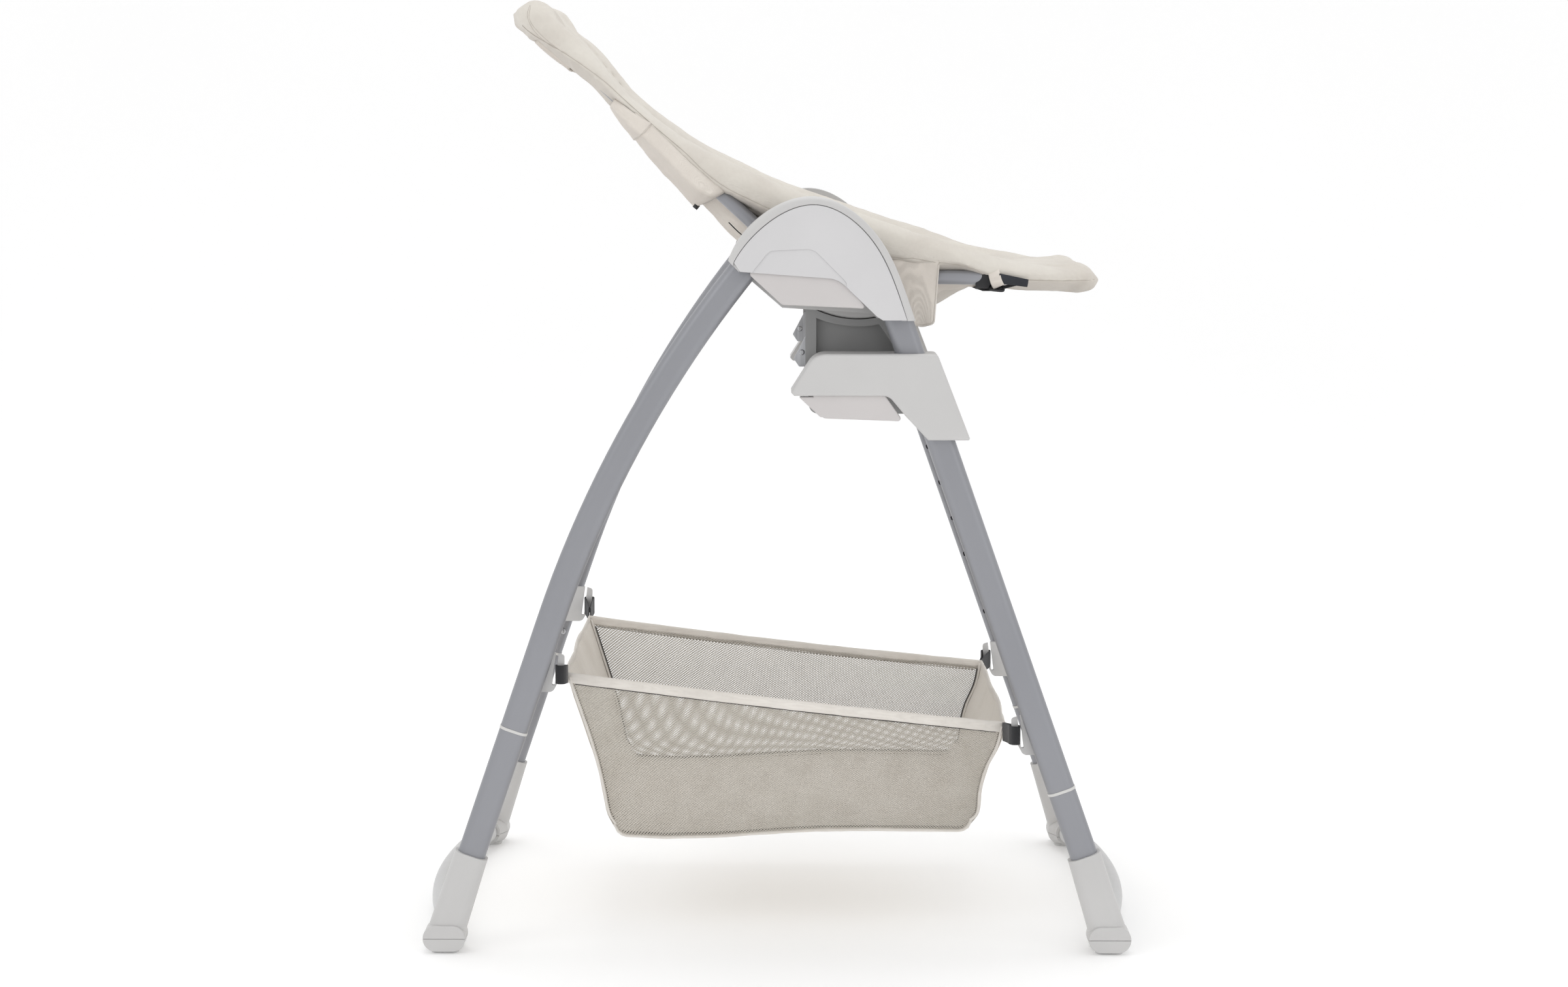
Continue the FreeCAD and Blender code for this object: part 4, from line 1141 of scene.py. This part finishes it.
def rim_line():
    """Closed line round the top: near wall, front end, far wall, rear end."""
    line = [wall_point(-1, u, 1.0) for u in np.linspace(0.0, 1.0, 60)]
    line += [end_point(True, w, 1.0) for w in np.linspace(0.03, 0.97, 40)]
    line += [wall_point(1, u, 1.0) for u in np.linspace(1.0, 0.0, 60)]
    line += [end_point(False, w, 1.0) for w in np.linspace(0.97, 0.03, 40)]
    return np.array(line)


def rim_band():
    """Folded tape round the rim: an upright flat loop of cloth."""
    line = rim_line()
    count = len(line)
    profile = []
    for step in range(16):
        angle = 2 * math.pi * step / 16
        sin = math.sin(angle)
        profile.append((1.9 * math.cos(angle), 6.0 * math.copysign(abs(sin) ** 0.8, sin)))
    points = []
    for index in range(count):
        ahead = line[(index + 1) % count] - line[index - 1]
        ahead[2] = 0
        ahead = ahead / np.linalg.norm(ahead)
        outward = np.array([ahead[1], -ahead[0], 0.0])
        for a, b in profile:
            points.append(line[index] + outward * a + np.array([0, 0, b - 4.0]))
    faces = grid_faces(count, len(profile), True, True)
    made = new_object("basket_rim", points, faces, "basket_fabric", RIM_TAPE)
    face_outward(made)
    rumple(made, 0.5, 26.0, (1, 1, 1), 31.0)
    return made


def stitches(name, line, radius):
    return tube(name, line, radius, "basket_fabric", STITCH, 6)


def make_basket():
    cloth_strip = solid_cloth()
    thicken(cloth_strip, 1.0, 0.0)
    nets = [net_panel("right", -1), net_panel("left", 1)]
    rim = rim_band()
    trims = [rim]
    for sign, side in SIDES:
        for u, end, inwards in ((0.0, "rear", 1), (1.0, "front", -1)):
            line = np.array([wall_point(sign, u, v) for v in np.linspace(0.0, 0.985, 46)])
            line[:, 0] += 2.0 * inwards
            trims.append(tape(f"basket_edge_{end}_{side}", line, 4.6, 0.34))
            inner = line.copy()
            inner[:, 0] += 2.5 * inwards
            inner[:, 1] -= sign * 2.0
            trims.append(stitches(f"basket_stitch_{end}_{side}", inner[2:-2], 0.8))
        line = np.array([wall_point(sign, u, 0.0) for u in np.linspace(0.0, 1.0, 90)])
        line[:, 2] += 1.0
        trims.append(tape("basket_foot_" + side, line, 4.6, 0.36))
        inner = line + np.array([0, -sign * 3.0, 3.4])
        trims.append(stitches("basket_foot_stitch_" + side, inner[2:-2], 1.2))
        line = np.array([wall_point(sign, u, 1.0) for u in np.linspace(0.02, 0.98, 80)])
        inner = line + np.array([0, -sign * 1.2, -10.6])
        trims.append(stitches("basket_rim_stitch_" + side, inner, 0.6))
    yarns, shade_rings = zip(*nets)
    moving = [cloth_strip, *yarns, *shade_rings, *trims]
    for piece in moving:
        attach(piece, "front_frame")
    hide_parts("basket")
    for piece in moving:
        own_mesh(piece)


# For each end: node, body, finger of the clip (x, y) and basket corner (x, y), then the
# middle height of the webbing at the clip and at the corner.
CORNER_LOOPS = (
    ("rear_basket_straps", "rear_frame", (-241.5, 265.2), (-238.5, 219.5), 311.0, 303.5),
    ("front_basket_straps", "front_frame", (265.0, 265.2), (256.0, 219.5), 243.5, 238.5),
)
# One half of a loop: share of the way to the finger, and distance out from the middle.
LOOP_HALF = ((0.0, 1.0), (0.3, 1.6), (0.7, 3.4), (0.92, 5.2), (1.02, 5.6), (1.12, 3.6))


def make_corner_loops():
    """Webbing sewn to each basket corner and looped over the clip's finger."""
    for node, body, finger, corner, clip_z, corner_z in CORNER_LOOPS:
        for sign, side in SIDES:
            run = Vector((finger[0] - corner[0], finger[1] - corner[1]))
            ahead = run.normalized()
            across = Vector((-ahead.y, ahead.x))
            line = []
            for along, out in (*LOOP_HALF, (1.15, 0.0), *[(a, -b) for a, b in reversed(LOOP_HALF)]):
                place = Vector(corner) + run * along + across * out
                line.append((place.x, sign * place.y, corner_z + (clip_z - corner_z) * min(along, 1.0)))
            name = node.replace("straps", "loop_") + side
            loop = strap(name, smooth_line(line, 90), (0, 0, 1), 21, 1.5)
            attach(loop, body)
            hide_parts(node)


make_basket()
make_corner_loops()


# ---- stage, lights and camera -------------------------------------------------------------
def make_stage():
    """Pale seamless floor that curves up into a back wall."""
    near, bend, radius, top, half = -7.0, 5.0, 3.0, 9.0, 12.0
    profile = [(near, 0.0), (bend, 0.0)]
    for step in range(1, 17):
        angle = math.pi / 2 * step / 16
        profile.append((bend + radius * math.sin(angle), radius - radius * math.cos(angle)))
    profile.append((bend + radius, top))
    points = []
    for y, z in profile:
        points += [(-half / MM, y / MM, z / MM), (half / MM, y / MM, z / MM)]
    floor_shader = Shader("stage_white", 0.6, specular=0.2)
    tone = floor_shader.noise(0.5, 1.0)
    floor_shader.colour(floor_shader.ramp(tone, (0.93, 0.93, 0.93, 1), (0.95, 0.95, 0.95, 1)))
    floor_shader.bsdf.inputs["Emission Color"].default_value = (1.0, 1.0, 1.0, 1.0)
    floor_shader.bsdf.inputs["Emission Strength"].default_value = 0.14
    floor = new_object("studio_floor", points, grid_faces(len(profile), 2), None, floor_shader.material)


def area_light(name, place, target, size, power):
    data = bpy.data.lights.new(name, "AREA")
    data.shape = "RECTANGLE"
    data.size, data.size_y = size
    data.energy = power
    lamp = bpy.data.objects.new(name, data)
    lamp.location = place
    lamp.rotation_euler = (Vector(target) - Vector(place)).to_track_quat("-Z", "Y").to_euler()
    bpy.context.scene.collection.objects.link(lamp)


def make_lights():
    world = bpy.data.worlds.new("studio")
    world.use_nodes = True
    background = world.node_tree.nodes["Background"]
    background.inputs["Color"].default_value = (1.0, 1.0, 1.0, 1.0)
    background.inputs["Strength"].default_value = 0.86
    bpy.context.scene.world = world
    area_light("key", (-2.6, -2.8, 3.0), (0.0, 0.0, 0.6), (2.4, 2.4), 16.0)
    area_light("fill", (2.8, -2.6, 1.6), (0.0, 0.0, 0.6), (2.0, 2.4), 8.0)
    area_light("top", (0.0, 0.6, 3.6), (0.0, 0.0, 0.4), (1.8, 1.8), 21.0)


# The camera that was fitted to the photo: metres, radians, and the lens in millimetres.
CAMERA_PLACE = (0.00655, -3.849, 0.9125)
CAMERA_DOWN = 0.1107
CAMERA_ROLL = 0.0025
LENS = 74.7


def make_camera():
    """The viewpoint of the side view: slightly above, looking a little down."""
    data = bpy.data.cameras.new("camera")
    data.sensor_width = 36.0
    data.lens = LENS
    data.clip_end = 60.0
    camera = bpy.data.objects.new("camera", data)
    camera.location = CAMERA_PLACE
    camera.rotation_mode = "ZYX"
    camera.rotation_euler = (math.pi / 2 - CAMERA_DOWN, 0.0, CAMERA_ROLL)
    bpy.context.scene.collection.objects.link(camera)
    bpy.context.scene.camera = camera


make_stage()
make_lights()
make_camera()
bpy.context.scene.view_settings.view_transform = "Standard"
